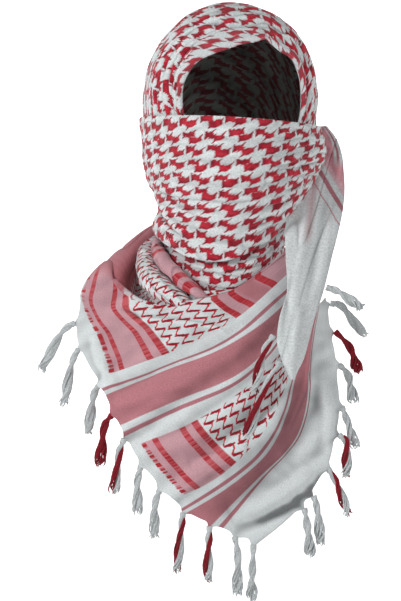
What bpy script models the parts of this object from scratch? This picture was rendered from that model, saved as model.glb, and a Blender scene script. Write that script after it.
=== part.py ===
"""A keffiyeh (shemagh) headscarf, wound round the head, face and neck as it is worn.

One square of cotton gives every stretch: the hood, the band over the face, the turns round the neck,
the collar folds, the drape on the chest and the tail at the side, with knotted tassels on its edges.
Metres, +Z up. The face looks along -Y and the wearer's left hand is at +X. The origin is the point
inside the crown where the head carries the hood.
"""

import math

import bmesh
import bpy
from mathutils import Matrix, Vector

# Driving dimensions
WALL = 0.0022  # cloth as it lies in a wound scarf: two thin layers and the air between them
HEAD_TURN = math.radians(10)  # the head looks a little to the wearer's left
HEAD_TURN_MATRIX = Matrix.Rotation(HEAD_TURN, 3, "Z")
LAYER_STEP = 0.0035  # from the middle of one layer to the middle of the next
KNOT_GAP, TAIL_KNOT_GAP = 0.0024, 0.0038  # from a cloth edge to the start of its tassel
TASSEL_SIDES = 6
TASSEL_STEPS = 5

# Cloth colours, roughness and metallic value
COLOURS = {
    "houndstooth": ((0.80, 0.45, 0.46, 1.0), 0.9, 0.0),
    "net_weave": ((0.82, 0.62, 0.64, 1.0), 0.9, 0.0),
    "border": ((0.78, 0.55, 0.58, 1.0), 0.9, 0.0),
    "white_fringe": ((0.80, 0.82, 0.82, 1.0), 0.85, 0.0),
    "red_fringe": ((0.45, 0.03, 0.06, 1.0), 0.85, 0.0),
}


class Table:
    """Rows of sizes under named columns. at() reads every column at a value of the first, smoothly."""

    def __init__(self, columns, rows):
        self.columns = columns.split()
        self.rows = rows
        self.keys = [row[0] for row in rows]

    def slope(self, i, column):
        low, high = max(i - 1, 0), min(i + 1, len(self.rows) - 1)
        return (self.rows[high][column] - self.rows[low][column]) / (self.keys[high] - self.keys[low])

    def at(self, key):
        key = min(max(key, self.keys[0]), self.keys[-1])
        i = max(k for k in range(len(self.keys) - 1) if k == 0 or self.keys[k] <= key)
        span = self.keys[i + 1] - self.keys[i]
        t = (key - self.keys[i]) / span
        found = {}
        for column, name in enumerate(self.columns):
            start, end = self.rows[i][column], self.rows[i + 1][column]
            rise, fall = self.slope(i, column) * span, self.slope(i + 1, column) * span
            found[name] = (
                start * (1 + 2 * t) * (1 - t) ** 2
                + rise * t * (1 - t) ** 2
                + end * (3 - 2 * t) * t**2
                + fall * (t - 1) * t**2
            )
        return found


# The hood's sections fan from the face opening (turn 0), over the crown and the back of the head, to the nape
# (turn 1). near is each section's front or lower point, where the hood is open, and far its upper or back one.
HOOD = Table(
    "turn near_y near_z far_y far_z half_width squareness",
    (
        (0.0, -0.074, -0.152, -0.087, -0.037, 0.0620, 0.82),
        (0.1, -0.072, -0.160, -0.074, -0.014, 0.0700, 0.90),
        (0.2, -0.069, -0.168, -0.050, -0.001, 0.0770, 0.97),
        (0.3, -0.065, -0.176, -0.018, 0.0015, 0.0832, 1.00),
        (0.4, -0.061, -0.186, 0.022, -0.001, 0.0863, 1.00),
        (0.5, -0.057, -0.198, 0.062, -0.017, 0.0860, 1.00),
        (0.6, -0.052, -0.210, 0.090, -0.050, 0.0810, 1.00),
        (0.7, -0.048, -0.222, 0.101, -0.096, 0.0735, 1.00),
        (0.8, -0.045, -0.234, 0.093, -0.148, 0.0610, 1.00),
        (0.9, -0.043, -0.246, 0.074, -0.198, 0.0500, 1.00),
        (1.0, -0.041, -0.258, 0.062, -0.248, 0.0470, 1.00),
    ),
)

# Folds of the hood's front edge, turned back on it: first and last share of the turn, and depth in turns.
HOOD_FOLDS = {"brow_fold": (-0.285, 0.045, 0.11), "temple_fold": (0.058, 0.320, 0.075)}
HOOD_EDGE = 0.37  # share of a section's turn from its far point round to the hood's open edges

# Reach of the face wrap's rings to the left, right, front and back, at each height, and how far they turn
# with the head, in degrees.
FACE_RINGS = Table(
    "z left right front back turn",
    (
        (-0.272, -0.0660, 0.0620, -0.0900, 0.0880, 0),
        (-0.250, -0.0700, 0.0635, -0.0930, 0.0890, 0),
        (-0.236, -0.0730, 0.0645, -0.0960, 0.0900, 1),
        (-0.224, -0.0762, 0.0670, -0.0990, 0.0910, 2),
        (-0.214, -0.0752, 0.0710, -0.1020, 0.0930, 4),
        (-0.205, -0.0720, 0.0742, -0.1050, 0.0950, 5),
        (-0.190, -0.0756, 0.0790, -0.1110, 0.0990, 7),
        (-0.172, -0.0826, 0.0832, -0.1150, 0.1040, 9),
        (-0.156, -0.0864, 0.0852, -0.1170, 0.1080, 10),
        (-0.140, -0.0860, 0.0868, -0.1180, 0.1100, 10),
        (-0.125, -0.0882, 0.0882, -0.1180, 0.1110, 10),
        (-0.100, -0.0912, 0.0912, -0.1160, 0.1110, 10),
    ),
)

# Top and bottom edges of the face wrap round the head. Side is the angle from the front, positive to the
# wearer's left, and the wrap starts behind the wearer's left ear, passes behind the head and ends at the tuck.
FACE_EDGES = Table(
    "side top bottom",
    (
        (-254, -0.130, -0.220),
        (-180, -0.124, -0.232),
        (-120, -0.116, -0.230),
        (-90, -0.1115, -0.229),
        (-53, -0.1120, -0.244),
        (-30, -0.1130, -0.255),
        (-8, -0.1145, -0.258),
        (12, -0.1165, -0.253),
        (32, -0.1185, -0.242),
        (52, -0.1200, -0.229),
        (70, -0.1215, -0.219),
        (88, -0.1260, -0.205),
    ),
)
TUCK_FLARE = 0.012  # how far the tucked end stands off the head
TUCK_Z, TUCK_REACH = -0.148, 0.026
TUCK_START, TUCK_FULL = 40, 82  # degrees round from the front

# The lower turns round the neck, in the same way.
NECK_RINGS = Table(
    "z left right front back turn",
    (
        (-0.296, -0.0520, 0.0580, -0.0800, 0.0810, 0),
        (-0.275, -0.0590, 0.0600, -0.0850, 0.0810, 0),
        (-0.258, -0.0655, 0.0610, -0.0870, 0.0810, 0),
        (-0.245, -0.0660, 0.0600, -0.0870, 0.0800, 0),
        (-0.232, -0.0640, 0.0585, -0.0860, 0.0790, 0),
        (-0.205, -0.0640, 0.0600, -0.0860, 0.0800, 0),
    ),
)
NECK_EDGES = Table(
    "side top bottom",
    (
        (-180, -0.222, -0.262),
        (-120, -0.220, -0.258),
        (-90, -0.220, -0.250),
        (-70, -0.228, -0.263),
        (-50, -0.236, -0.272),
        (-28, -0.247, -0.290),
        (-14, -0.249, -0.291),
        (4, -0.246, -0.284),
        (22, -0.239, -0.274),
        (38, -0.230, -0.262),
        (58, -0.218, -0.248),
        (90, -0.214, -0.236),
        (140, -0.219, -0.252),
        (180, -0.222, -0.262),
    ),
)
LOOP_EDGES = Table(
    "side top bottom",
    (
        (26, -0.262, -0.270),
        (42, -0.252, -0.266),
        (60, -0.240, -0.263),
        (80, -0.230, -0.257),
        (104, -0.228, -0.248),
    ),
)
LOOP_INSET = 0.0040

# The shawl behind the neck, which joins the two shoulders.
NAPE_RINGS = Table(
    "z left right front back turn",
    (
        (-0.330, -0.1250, 0.1020, -0.0800, 0.1180, 0),
        (-0.285, -0.1010, 0.0880, -0.0780, 0.1060, 0),
        (-0.255, -0.0850, 0.0790, -0.0780, 0.0950, 0),
        (-0.228, -0.0800, 0.0740, -0.0780, 0.0900, 0),
    ),
)
NAPE_EDGES = Table(
    "side top bottom",
    (
        (62, -0.256, -0.290),
        (90, -0.248, -0.300),
        (120, -0.243, -0.312),
        (150, -0.240, -0.322),
        (180, -0.239, -0.325),
        (210, -0.238, -0.318),
        (238, -0.242, -0.300),
    ),
)

# The fold inside the top of the drape, which lies against the neck wrap.
BED_RINGS = Table(
    "z left right front back turn",
    (
        (-0.314, -0.0860, 0.0800, -0.0900, 0.1000, 0),
        (-0.294, -0.0790, 0.0760, -0.0890, 0.0920, 0),
        (-0.280, -0.0745, 0.0700, -0.0885, 0.0860, 0),
    ),
)
BED_EDGES = Table(
    "side top bottom",
    (
        (-100, -0.285, -0.312),
        (-60, -0.286, -0.314),
        (-20, -0.287, -0.312),
        (20, -0.284, -0.310),
        (58, -0.281, -0.306),
    ),
)

# Rolled folds of the collar at the wearer's right: path of the roll's middle, and its radius.
COLLAR_NET = Table(
    "along x y z radius",
    (
        (0.0, -0.0700, 0.0400, -0.2360, 0.0050),
        (0.2, -0.0800, 0.0140, -0.2440, 0.0066),
        (0.4, -0.0832, -0.0162, -0.2552, 0.0080),
        (0.6, -0.0800, -0.0482, -0.2692, 0.0090),
        (0.8, -0.0695, -0.0740, -0.2820, 0.0092),
        (1.0, -0.0520, -0.0930, -0.2890, 0.0068),
    ),
)
COLLAR_PINK = Table(
    "along x y z radius",
    (
        (0.0, -0.0712, 0.0050, -0.2325, 0.0028),
        (0.25, -0.0718, -0.0162, -0.2412, 0.0036),
        (0.5, -0.0687, -0.0448, -0.2533, 0.0040),
        (0.75, -0.0568, -0.0702, -0.2673, 0.0040),
        (1.0, -0.0405, -0.0882, -0.2787, 0.0034),
    ),
)
ROLL_OPEN = math.radians(95)  # the part of each roll's turn left open, below it

# The chest drape fans from the gather at the wearer's left shoulder to the fringed edges. Each course is a
# line of the cloth from the fringed edge (a) to the gather (e), as seen from the front.
DRAPE = Table(
    "course a_x a_z b_x b_z c_x c_z d_x d_z e_x e_z",
    (
        (0.000, -0.152, -0.291, -0.100, -0.301, -0.048, -0.299, 0.006, -0.285, 0.061, -0.246),
        (0.125, -0.154, -0.331, -0.101, -0.330, -0.046, -0.322, 0.008, -0.301, 0.062, -0.258),
        (0.250, -0.143, -0.359, -0.090, -0.354, -0.036, -0.339, 0.015, -0.313, 0.064, -0.270),
        (0.375, -0.124, -0.389, -0.072, -0.370, -0.020, -0.345, 0.028, -0.310, 0.067, -0.281),
        (0.500, -0.103, -0.431, -0.056, -0.408, -0.008, -0.381, 0.036, -0.346, 0.073, -0.294),
        (0.625, -0.080, -0.466, -0.031, -0.441, 0.014, -0.404, 0.052, -0.360, 0.079, -0.300),
        (0.750, -0.045, -0.503, 0.002, -0.471, 0.043, -0.427, 0.064, -0.368, 0.085, -0.302),
        (0.875, -0.015, -0.518, 0.030, -0.472, 0.070, -0.425, 0.080, -0.362, 0.091, -0.300),
        (1.000, 0.029, -0.536, 0.078, -0.493, 0.107, -0.428, 0.108, -0.362, 0.099, -0.292),
    ),
)
# The chest under it: how far forward it reaches in the middle at each height, and how fast it falls back.
CHEST = Table(
    "z front fall",
    (
        (-0.540, -0.128, 2.4),
        (-0.450, -0.126, 2.7),
        (-0.400, -0.119, 3.1),
        (-0.350, -0.109, 3.6),
        (-0.300, -0.097, 4.0),
        (-0.240, -0.082, 4.2),
    ),
)

# Where the cloth comes over the wearer's right shoulder: its hanging edge, crest, front and pocket lines.
SHOULDER = Table(
    "along back_x back_y back_z crest_x crest_y crest_z front_x front_y front_z pocket_x pocket_y pocket_z",
    (
        (0.0, -0.148, 0.046, -0.332, -0.147, 0.018, -0.287, -0.116, -0.030, -0.289, -0.0894, -0.061, -0.312),
        (0.35, -0.128, 0.062, -0.326, -0.124, 0.022, -0.258, -0.1112, -0.022, -0.271, -0.0939, -0.041, -0.306),
        (0.7, -0.106, 0.076, -0.318, -0.099, 0.030, -0.238, -0.0988, 0.001, -0.256, -0.0969, -0.012, -0.292),
        (1.0, -0.090, 0.086, -0.310, -0.0830, 0.046, -0.226, -0.0860, 0.022, -0.246, -0.0934, 0.010, -0.276),
    ),
)

# The tail that hangs from the tuck at the wearer's left ear.
TAIL = Table(
    "drop left_x left_y right_x right_y",
    (
        (-0.374, 0.0600, -0.134, 0.0635, -0.133),
        (-0.366, 0.0565, -0.134, 0.0665, -0.131),
        (-0.354, 0.0510, -0.133, 0.0725, -0.126),
        (-0.338, 0.0468, -0.131, 0.0775, -0.118),
        (-0.314, 0.0490, -0.123, 0.0840, -0.105),
        (-0.288, 0.0570, -0.110, 0.0930, -0.089),
        (-0.253, 0.0635, -0.088, 0.1025, -0.067),
        (-0.218, 0.0680, -0.064, 0.1120, -0.042),
        (-0.201, 0.0780, -0.046, 0.1155, -0.028),
        (-0.186, 0.0880, -0.020, 0.1170, -0.016),
        (-0.166, 0.0920, 0.006, 0.1165, -0.006),
        (-0.146, 0.0910, 0.012, 0.1145, 0.000),
        (-0.131, 0.0890, 0.014, 0.1090, 0.006),
        (-0.119, 0.0870, 0.014, 0.1000, 0.010),
    ),
)
TAIL_TOP, TAIL_FOOT = -0.119, -0.374
TAIL_BELLY = 0.006

# Tassels: the edge each hangs from, its place along that edge, and how its middle and tip lie from its knot.
TASSELS = (
    # edge      place   mid_x   mid_z   tip_x   tip_z   thread
    ("fringe", 0.085, -0.013, -0.010, -0.034, -0.047, "white"),
    ("fringe", 0.185, -0.007, -0.016, -0.015, -0.056, "white"),
    ("fringe", 0.345, -0.005, -0.012, -0.010, -0.047, "white"),
    ("fringe", 0.435, -0.008, -0.013, -0.013, -0.050, "red"),
    ("fringe", 0.505, -0.005, -0.015, -0.010, -0.053, "mixed"),
    ("fringe", 0.600, -0.003, -0.014, -0.004, -0.046, "white"),
    ("fringe", 0.675, -0.005, -0.017, -0.005, -0.046, "white"),
    ("fringe", 0.755, -0.002, -0.018, -0.006, -0.057, "mixed"),
    ("fringe", 0.865, -0.001, -0.018, -0.002, -0.053, "mixed"),
    ("fringe", 0.940, 0.003, -0.021, 0.002, -0.056, "white"),
    ("fringe", 0.990, -0.001, -0.026, -0.002, -0.056, "white"),
    ("side", 0.215, 0.003, -0.018, 0.006, -0.046, "white"),
    ("side", 0.270, 0.004, -0.015, 0.007, -0.047, "white"),
    ("side", 0.375, 0.010, -0.017, 0.020, -0.046, "mixed"),
    ("side", 0.495, 0.008, -0.010, 0.007, -0.042, "mixed"),
    ("side", 0.600, 0.006, -0.015, 0.014, -0.040, "white"),
    ("side", 0.755, 0.009, -0.011, 0.014, -0.037, "white"),
    ("side", 0.860, 0.016, -0.018, 0.023, -0.041, "red"),
    ("side", 0.955, 0.012, -0.004, 0.034, -0.032, "white"),
    ("tail_right", 0.645, 0.013, -0.005, 0.035, -0.021, "white"),
    ("tail_left", 0.830, -0.010, -0.019, -0.019, -0.055, "mixed"),
    ("tail_left", 0.930, -0.017, -0.032, -0.037, -0.088, "mixed"),
)
TASSEL_RADII = (0.0024, 0.0034, 0.0038, 0.0042, 0.0048, 0.0044)


def clear_scene():
    for obj in list(bpy.data.objects):
        bpy.data.objects.remove(obj, do_unlink=True)


def cloth_material(name):
    colour, roughness, metallic = COLOURS[name]
    material = bpy.data.materials.get(name) or bpy.data.materials.new(name)
    material.use_nodes = True
    shader = material.node_tree.nodes["Principled BSDF"]
    shader.inputs["Base Color"].default_value = colour
    shader.inputs["Roughness"].default_value = roughness
    shader.inputs["Metallic"].default_value = metallic
    material.diffuse_color = colour
    return material


def add_object(name, material, bm):
    bmesh.ops.recalc_face_normals(bm, faces=bm.faces)
    mesh = bpy.data.meshes.new(name)
    bm.to_mesh(mesh)
    bm.free()
    mesh.shade_smooth()
    obj = bpy.data.objects.new(name, mesh)
    obj.data.materials.append(cloth_material(material))
    bpy.context.scene.collection.objects.link(obj)
    return obj


def normals_of(grid, ring):
    """The surface's direction at each point of a grid, from its neighbours."""
    rows, columns = len(grid), len(grid[0])
    found = []
    for j in range(rows):
        line = []
        for i in range(columns):
            if ring:
                before, after = grid[j][i - 1], grid[j][(i + 1) % columns]
            else:
                before, after = grid[j][max(i - 1, 0)], grid[j][min(i + 1, columns - 1)]
            below, above = grid[max(j - 1, 0)][i], grid[min(j + 1, rows - 1)][i]
            line.append((after - before).cross(above - below).normalized())
        found.append(line)
    return found


def shell(name, material, point, across, along, ring=False):
    """A wall of cloth along the surface point(u, v), closed round its rim."""
    columns = across if ring else across + 1
    grid = [[point(i / across, j / along) for i in range(columns)] for j in range(along + 1)]
    normals = normals_of(grid, ring)
    bm = bmesh.new()
    skins = []
    for side in (0.5 * WALL, -0.5 * WALL):
        skins.append(
            [
                [bm.verts.new(p + n * side) for p, n in zip(points, directions)]
                for points, directions in zip(grid, normals)
            ]
        )
    outer, inner = skins
    steps = range(columns if ring else across)
    for j in range(along):
        for i in steps:
            k = (i + 1) % columns
            bm.faces.new((outer[j][i], outer[j][k], outer[j + 1][k], outer[j + 1][i]))
            bm.faces.new((inner[j][i], inner[j + 1][i], inner[j + 1][k], inner[j][k]))
    for j in (0, along):
        for i in steps:
            k = (i + 1) % columns
            bm.faces.new((outer[j][i], inner[j][i], inner[j][k], outer[j][k]))
    if not ring:
        for i in (0, across):
            for j in range(along):
                bm.faces.new((outer[j][i], outer[j + 1][i], inner[j + 1][i], inner[j][i]))
    bmesh.ops.triangulate(bm, faces=bm.faces)
    return add_object(name, material, bm)


def tube(name, material, points, radii):
    """A plain round solid along points, closed at both ends."""
    bm = bmesh.new()
    rings = []
    for i, (centre, radius) in enumerate(zip(points, radii)):
        along = (points[min(i + 1, len(points) - 1)] - points[max(i - 1, 0)]).normalized()
        side = along.cross(Vector((0, 1, 0))).normalized()
        other = along.cross(side)
        ring = []
        for k in range(TASSEL_SIDES):
            angle = 2 * math.pi * k / TASSEL_SIDES
            ring.append(bm.verts.new(centre + radius * (side * math.cos(angle) + other * math.sin(angle))))
        rings.append(ring)
    for low, high in zip(rings, rings[1:]):
        for k in range(TASSEL_SIDES):
            after = (k + 1) % TASSEL_SIDES
            bm.faces.new((low[k], low[after], high[after], high[k]))
    bm.faces.new(rings[0])
    bm.faces.new(rings[-1])
    bmesh.ops.triangulate(bm, faces=bm.faces)
    return add_object(name, material, bm)


def smooth_step(low, high, value):
    t = min(max((value - low) / (high - low), 0.0), 1.0)
    return t * t * (3 - 2 * t)


def hood_point(u, v):
    """The hood's cloth: u is the share of a turn round its section, to the wearer's left, v is the turn."""
    row = HOOD.at(v)
    c, s = math.cos(2 * math.pi * u), math.sin(2 * math.pi * u)
    c = math.copysign(abs(c) ** row["squareness"], c)
    s = math.copysign(abs(s) ** row["squareness"], s)
    y = 0.5 * (row["near_y"] + row["far_y"]) + 0.5 * (row["far_y"] - row["near_y"]) * c
    z = 0.5 * (row["near_z"] + row["far_z"]) + 0.5 * (row["far_z"] - row["near_z"]) * c
    return HEAD_TURN_MATRIX @ Vector((row["half_width"] * s, y, z))


def above_hood(u, v, lift):
    """A point of the hood moved off the cloth."""
    step = 0.01
    around = hood_point(u + step, v) - hood_point(u - step, v)
    back = hood_point(u, min(v + step, 1)) - hood_point(u, max(v - step, 0))
    return hood_point(u, v) + around.cross(back).normalized() * lift


def ring_point(rings, side, z, out=0.0):
    """A point of a wrap at an angle from the front, in degrees, and a height."""
    row = rings.at(z)
    turn = math.radians(row["turn"])
    angle = math.radians(side) - turn
    half_width = 0.5 * (row["right"] - row["left"]) + out
    half_depth = 0.5 * (row["back"] - row["front"]) + out
    centre = Vector((0.5 * (row["left"] + row["right"]), 0.5 * (row["front"] + row["back"]), z))
    return centre + Matrix.Rotation(turn, 3, "Z") @ Vector(
        (half_width * math.sin(angle), -half_depth * math.cos(angle), 0)
    )


def band_place(edges, u, v):
    """The angle and height on a band: u from its first angle to its last, v from its bottom edge up."""
    side = edges.keys[0] + (edges.keys[-1] - edges.keys[0]) * u
    row = edges.at(side)
    return side, row["bottom"] + (row["top"] - row["bottom"]) * v


def band_point(rings, edges, u, v, out=0.0):
    side, z = band_place(edges, u, v)
    return ring_point(rings, side, z, out)


def face_wrap_point(u, v):
    """The band over the face. Its tucked end stands off the head."""
    side, z = band_place(FACE_EDGES, u, v)
    height = (z - TUCK_Z) / TUCK_REACH
    flare = TUCK_FLARE * math.exp(-height * height) * smooth_step(TUCK_START, TUCK_FULL, side)
    return ring_point(FACE_RINGS, side, z, flare)


def roll_point(path, u, v):
    """A rolled fold: u turns round the roll and v goes along it."""
    row = path.at(v)
    ahead, behind = path.at(min(v + 0.02, 1)), path.at(max(v - 0.02, 0))
    along = Vector([ahead[c] - behind[c] for c in "xyz"]).normalized()
    centre = Vector([row[c] for c in "xyz"])
    away = Vector((centre.x, centre.y, 0)).normalized()
    side = (away - along * away.dot(along)).normalized()
    up = along.cross(side)
    if up.z < 0:
        up = -up
    angle = 1.5 * math.pi + 0.5 * ROLL_OPEN + (2 * math.pi - ROLL_OPEN) * u
    return centre + row["radius"] * (side * math.cos(angle) + up * math.sin(angle))


def through(guides, u):
    """The smooth line through evenly spaced guide points, at u from 0 to 1."""
    last = len(guides) - 1
    i = min(int(u * last), last - 1)
    t = u * last - i
    before, start, end, after = guides[max(i - 1, 0)], guides[i], guides[i + 1], guides[min(i + 2, last)]
    rise, fall = 0.5 * (end - before), 0.5 * (after - start)
    return (
        start * (1 + 2 * t) * (1 - t) ** 2
        + rise * t * (1 - t) ** 2
        + end * (3 - 2 * t) * t**2
        + fall * (t - 1) * t**2
    )


def drape_point(u, v):
    """The chest drape: u along a course from the fringed edge to the gather, v from the top course down."""
    row = DRAPE.at(v)
    place = through([Vector((row[f"{guide}_x"], 0, row[f"{guide}_z"])) for guide in "abcde"], u)
    chest = CHEST.at(place.z)
    place.y = chest["front"] + chest["fall"] * place.x**2
    return place


def shoulder_point(u, v):
    """The cloth over the shoulder: u from its hanging back edge over the crest into the pocket."""
    row = SHOULDER.at(v)
    lines = ("back", "crest", "front", "pocket")
    return through([Vector([row[f"{line}_{c}"] for c in "xyz"]) for line in lines], u)


def tail_point(u, v):
    """The side tail: u from its left edge to its right one, v from the tuck down to its foot."""
    z = TAIL_TOP + (TAIL_FOOT - TAIL_TOP) * v
    row = TAIL.at(z)
    x = row["left_x"] + (row["right_x"] - row["left_x"]) * u
    y = row["left_y"] + (row["right_y"] - row["left_y"]) * u
    belly = TAIL_BELLY * 4 * u * (1 - u) * smooth_step(0.25, 0.5, v)
    return Vector((x, y - belly, z))


def edge_point(edge, place):
    """A point on a cloth edge and the direction out of the cloth there."""
    if edge == "fringe":
        point, inside = drape_point(0, place), drape_point(0.03, place)
    elif edge == "side":
        point, inside = drape_point(place, 1), drape_point(place, 0.97)
    elif edge == "tail_right":
        point, inside = tail_point(1, place), tail_point(0.9, place)
    else:
        point, inside = tail_point(0, place), tail_point(0.1, place)
    return point, (point - inside).normalized()


def add_tassel(number, edge, place, mid_x, mid_z, tip_x, tip_z, thread):
    point, out = edge_point(edge, place)
    start = point + out * (TAIL_KNOT_GAP if edge.startswith("tail") else KNOT_GAP)
    guides = [start, start + Vector((mid_x, 0, mid_z)), start + Vector((tip_x, 0, tip_z))]
    points = [through(guides, k / TASSEL_STEPS) for k in range(TASSEL_STEPS + 1)]
    material = "red_fringe" if thread == "red" else "white_fringe"
    tube(f"tassel_{number:02d}", material, points, TASSEL_RADII)


def build_hood():
    shell("hood", "houndstooth", lambda u, v: hood_point(HOOD_EDGE * (2 * u - 1), v), 30, 14)
    for name, (first, last, depth) in HOOD_FOLDS.items():
        def fold(u, v):
            return above_hood(first + (last - first) * u, depth * v, LAYER_STEP)

        shell(name, "houndstooth", fold, 16, 2)


def build_wraps():
    shell("face_wrap", "houndstooth", face_wrap_point, 42, 9)
    shell("neck_wrap", "houndstooth", lambda u, v: band_point(NECK_RINGS, NECK_EDGES, u, v), 32, 4, ring=True)
    shell("neck_loop", "houndstooth", lambda u, v: band_point(NECK_RINGS, LOOP_EDGES, u, v, -LOOP_INSET), 8, 2)
    shell("nape_shawl", "border", lambda u, v: band_point(NAPE_RINGS, NAPE_EDGES, u, v), 20, 4)


def build_collar():
    shell("collar_bed", "border", lambda u, v: band_point(BED_RINGS, BED_EDGES, u, v), 16, 2)
    shell("collar_net", "net_weave", lambda u, v: roll_point(COLLAR_NET, u, v), 8, 10)
    shell("collar_pink", "border", lambda u, v: roll_point(COLLAR_PINK, u, v), 8, 10)
    shell("shoulder_fold", "border", shoulder_point, 9, 7)


def build_drape():
    shell("chest_drape", "border", drape_point, 16, 20)
    shell("side_tail", "border", tail_point, 5, 16)


def build_tassels():
    for number, row in enumerate(TASSELS, start=1):
        add_tassel(number, *row)


clear_scene()
build_hood()
build_wraps()
build_collar()
build_drape()
build_tassels()
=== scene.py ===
"""The looks of a wound keffiyeh: thin cloth over each CAD stretch, its woven pattern and its tassels.

Metres, +Z up, in the CAD's frame, with most tables in millimetres. The face looks along -Y. The pattern's
sizes are in millimetres of flat cloth.
"""

import math

import bpy
import numpy as np
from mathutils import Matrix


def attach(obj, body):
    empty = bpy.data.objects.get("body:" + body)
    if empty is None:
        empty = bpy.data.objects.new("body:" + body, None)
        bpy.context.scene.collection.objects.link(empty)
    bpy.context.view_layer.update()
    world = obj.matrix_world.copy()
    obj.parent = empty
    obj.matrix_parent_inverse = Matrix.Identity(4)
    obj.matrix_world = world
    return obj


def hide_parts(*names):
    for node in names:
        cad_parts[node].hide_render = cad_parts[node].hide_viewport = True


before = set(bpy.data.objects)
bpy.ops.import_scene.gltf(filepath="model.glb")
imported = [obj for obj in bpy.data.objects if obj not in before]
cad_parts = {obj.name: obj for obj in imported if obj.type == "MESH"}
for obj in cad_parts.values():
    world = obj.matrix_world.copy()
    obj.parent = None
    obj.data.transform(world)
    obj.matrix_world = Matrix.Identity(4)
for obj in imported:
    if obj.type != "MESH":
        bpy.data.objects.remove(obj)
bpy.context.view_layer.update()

MM = 0.001
HEAD_TURN = math.radians(10)  # the hood is turned this far, to the right as seen from the front
CLOTH = 0.0012  # the thin shell's own thickness
HOOD_EDGE = 0.37  # how far round the hood's cloth reaches each way from the brow, as a share of a full turn
KNOT_GAP, TAIL_KNOT_GAP = 0.0024, 0.0038  # how far outside the hem a tassel starts
TUCK_FLARE = 0.012  # how far the wrap stands out over the end tucked in at its right side
TUCK_Z, TUCK_REACH = -0.148, 0.026  # the height of that bulge and its reach up and down
TUCK_START, TUCK_FULL = 40, 82  # where round the wrap it begins and where it is full, in degrees
LOOP_INSET = 0.0040  # how far inside the neck's rings the loop lies
ROLL_OPEN = math.radians(95)  # a collar roll is open underneath over this angle
TAIL_TOP, TAIL_FOOT = -0.119, -0.374
TAIL_BELLY = 0.006  # how far the hanging end's middle stands out before its edges


class Table:
    """Rows of sizes under named columns. at() reads every column at values of the first, smoothly.

    The rows are in millimetres and are read in metres, unless another unit is given. A starred column is a
    plain number: an angle in degrees, a share or a slope.
    """

    def __init__(self, columns, rows, unit=MM):
        self.columns = columns.replace("*", "").split()
        self.rows = np.array(rows, float) * [1 if name.endswith("*") else unit for name in columns.split()]
        self.keys = self.rows[:, 0]
        gaps = self.keys[2:] - self.keys[:-2]
        middle = (self.rows[2:] - self.rows[:-2]) / gaps[:, None]
        first = (self.rows[1] - self.rows[0]) / (self.keys[1] - self.keys[0])
        last = (self.rows[-1] - self.rows[-2]) / (self.keys[-1] - self.keys[-2])
        self.slopes = np.vstack([first, middle, last])

    def at(self, key):
        key = np.clip(np.asarray(key, float), self.keys[0], self.keys[-1])
        i = np.clip(np.searchsorted(self.keys, key, side="right") - 1, 0, len(self.keys) - 2)
        span = self.keys[i + 1] - self.keys[i]
        t = ((key - self.keys[i]) / span)[..., None]
        span = span[..., None]
        value = hermite(self.rows[i], self.rows[i + 1], self.slopes[i] * span, self.slopes[i + 1] * span, t)
        return {name: value[..., column] for column, name in enumerate(self.columns)}


def hermite(start, end, rise, fall, t):
    return (
        start * (1 + 2 * t) * (1 - t) ** 2
        + rise * t * (1 - t) ** 2
        + end * (3 - 2 * t) * t**2
        + fall * (t - 1) * t**2
    )


HOOD = Table("turn* near_y near_z far_y far_z half_width squareness*", (
    (0, -74, -152, -87, -37, 62, 0.82),
    (0.1, -72, -160, -74, -14, 70, 0.9),
    (0.2, -69, -168, -50, -1, 77, 0.97),
    (0.3, -65, -176, -18, 1.5, 83.2, 1),
    (0.4, -61, -186, 22, -1, 86.3, 1),
    (0.5, -57, -198, 62, -17, 86, 1),
    (0.6, -52, -210, 90, -50, 81, 1),
    (0.7, -48, -222, 101, -96, 73.5, 1),
    (0.8, -45, -234, 93, -148, 61, 1),
    (0.9, -43, -246, 74, -198, 50, 1),
    (1, -41, -258, 62, -248, 47, 1),
))
FACE_RINGS = Table("z left right front back turn*", (
    (-272, -66, 62, -90, 88, 0),
    (-250, -70, 63.5, -93, 89, 0),
    (-236, -73, 64.5, -96, 90, 1),
    (-224, -76.2, 67, -99, 91, 2),
    (-214, -75.2, 71, -102, 93, 4),
    (-205, -72, 74.2, -105, 95, 5),
    (-190, -75.6, 79, -111, 99, 7),
    (-172, -82.6, 83.2, -115, 104, 9),
    (-156, -86.4, 85.2, -117, 108, 10),
    (-140, -86, 86.8, -118, 110, 10),
    (-125, -88.2, 88.2, -118, 111, 10),
    (-100, -91.2, 91.2, -116, 111, 10),
))
FACE_EDGES = Table("side* top bottom", (
    (-254, -130, -220),
    (-180, -124, -232),
    (-120, -116, -230),
    (-90, -111.5, -229),
    (-53, -112, -244),
    (-30, -113, -255),
    (-8, -114.5, -258),
    (12, -116.5, -253),
    (32, -118.5, -242),
    (52, -120, -229),
    (70, -121.5, -219),
    (88, -126, -205),
))
NECK_RINGS = Table("z left right front back turn*", (
    (-296, -52, 58, -80, 81, 0),
    (-275, -59, 60, -85, 81, 0),
    (-258, -65.5, 61, -87, 81, 0),
    (-245, -66, 60, -87, 80, 0),
    (-232, -64, 58.5, -86, 79, 0),
    (-205, -64, 60, -86, 80, 0),
))
NECK_EDGES = Table("side* top bottom", (
    (-180, -222, -262),
    (-120, -220, -258),
    (-90, -220, -250),
    (-70, -228, -263),
    (-50, -236, -272),
    (-28, -247, -290),
    (-14, -249, -291),
    (4, -246, -284),
    (22, -239, -274),
    (38, -230, -262),
    (58, -218, -248),
    (90, -214, -236),
    (140, -219, -252),
    (180, -222, -262),
))
LOOP_EDGES = Table("side* top bottom", (
    (26, -262, -270),
    (42, -252, -266),
    (60, -240, -263),
    (80, -230, -257),
    (104, -228, -248),
))
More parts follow.
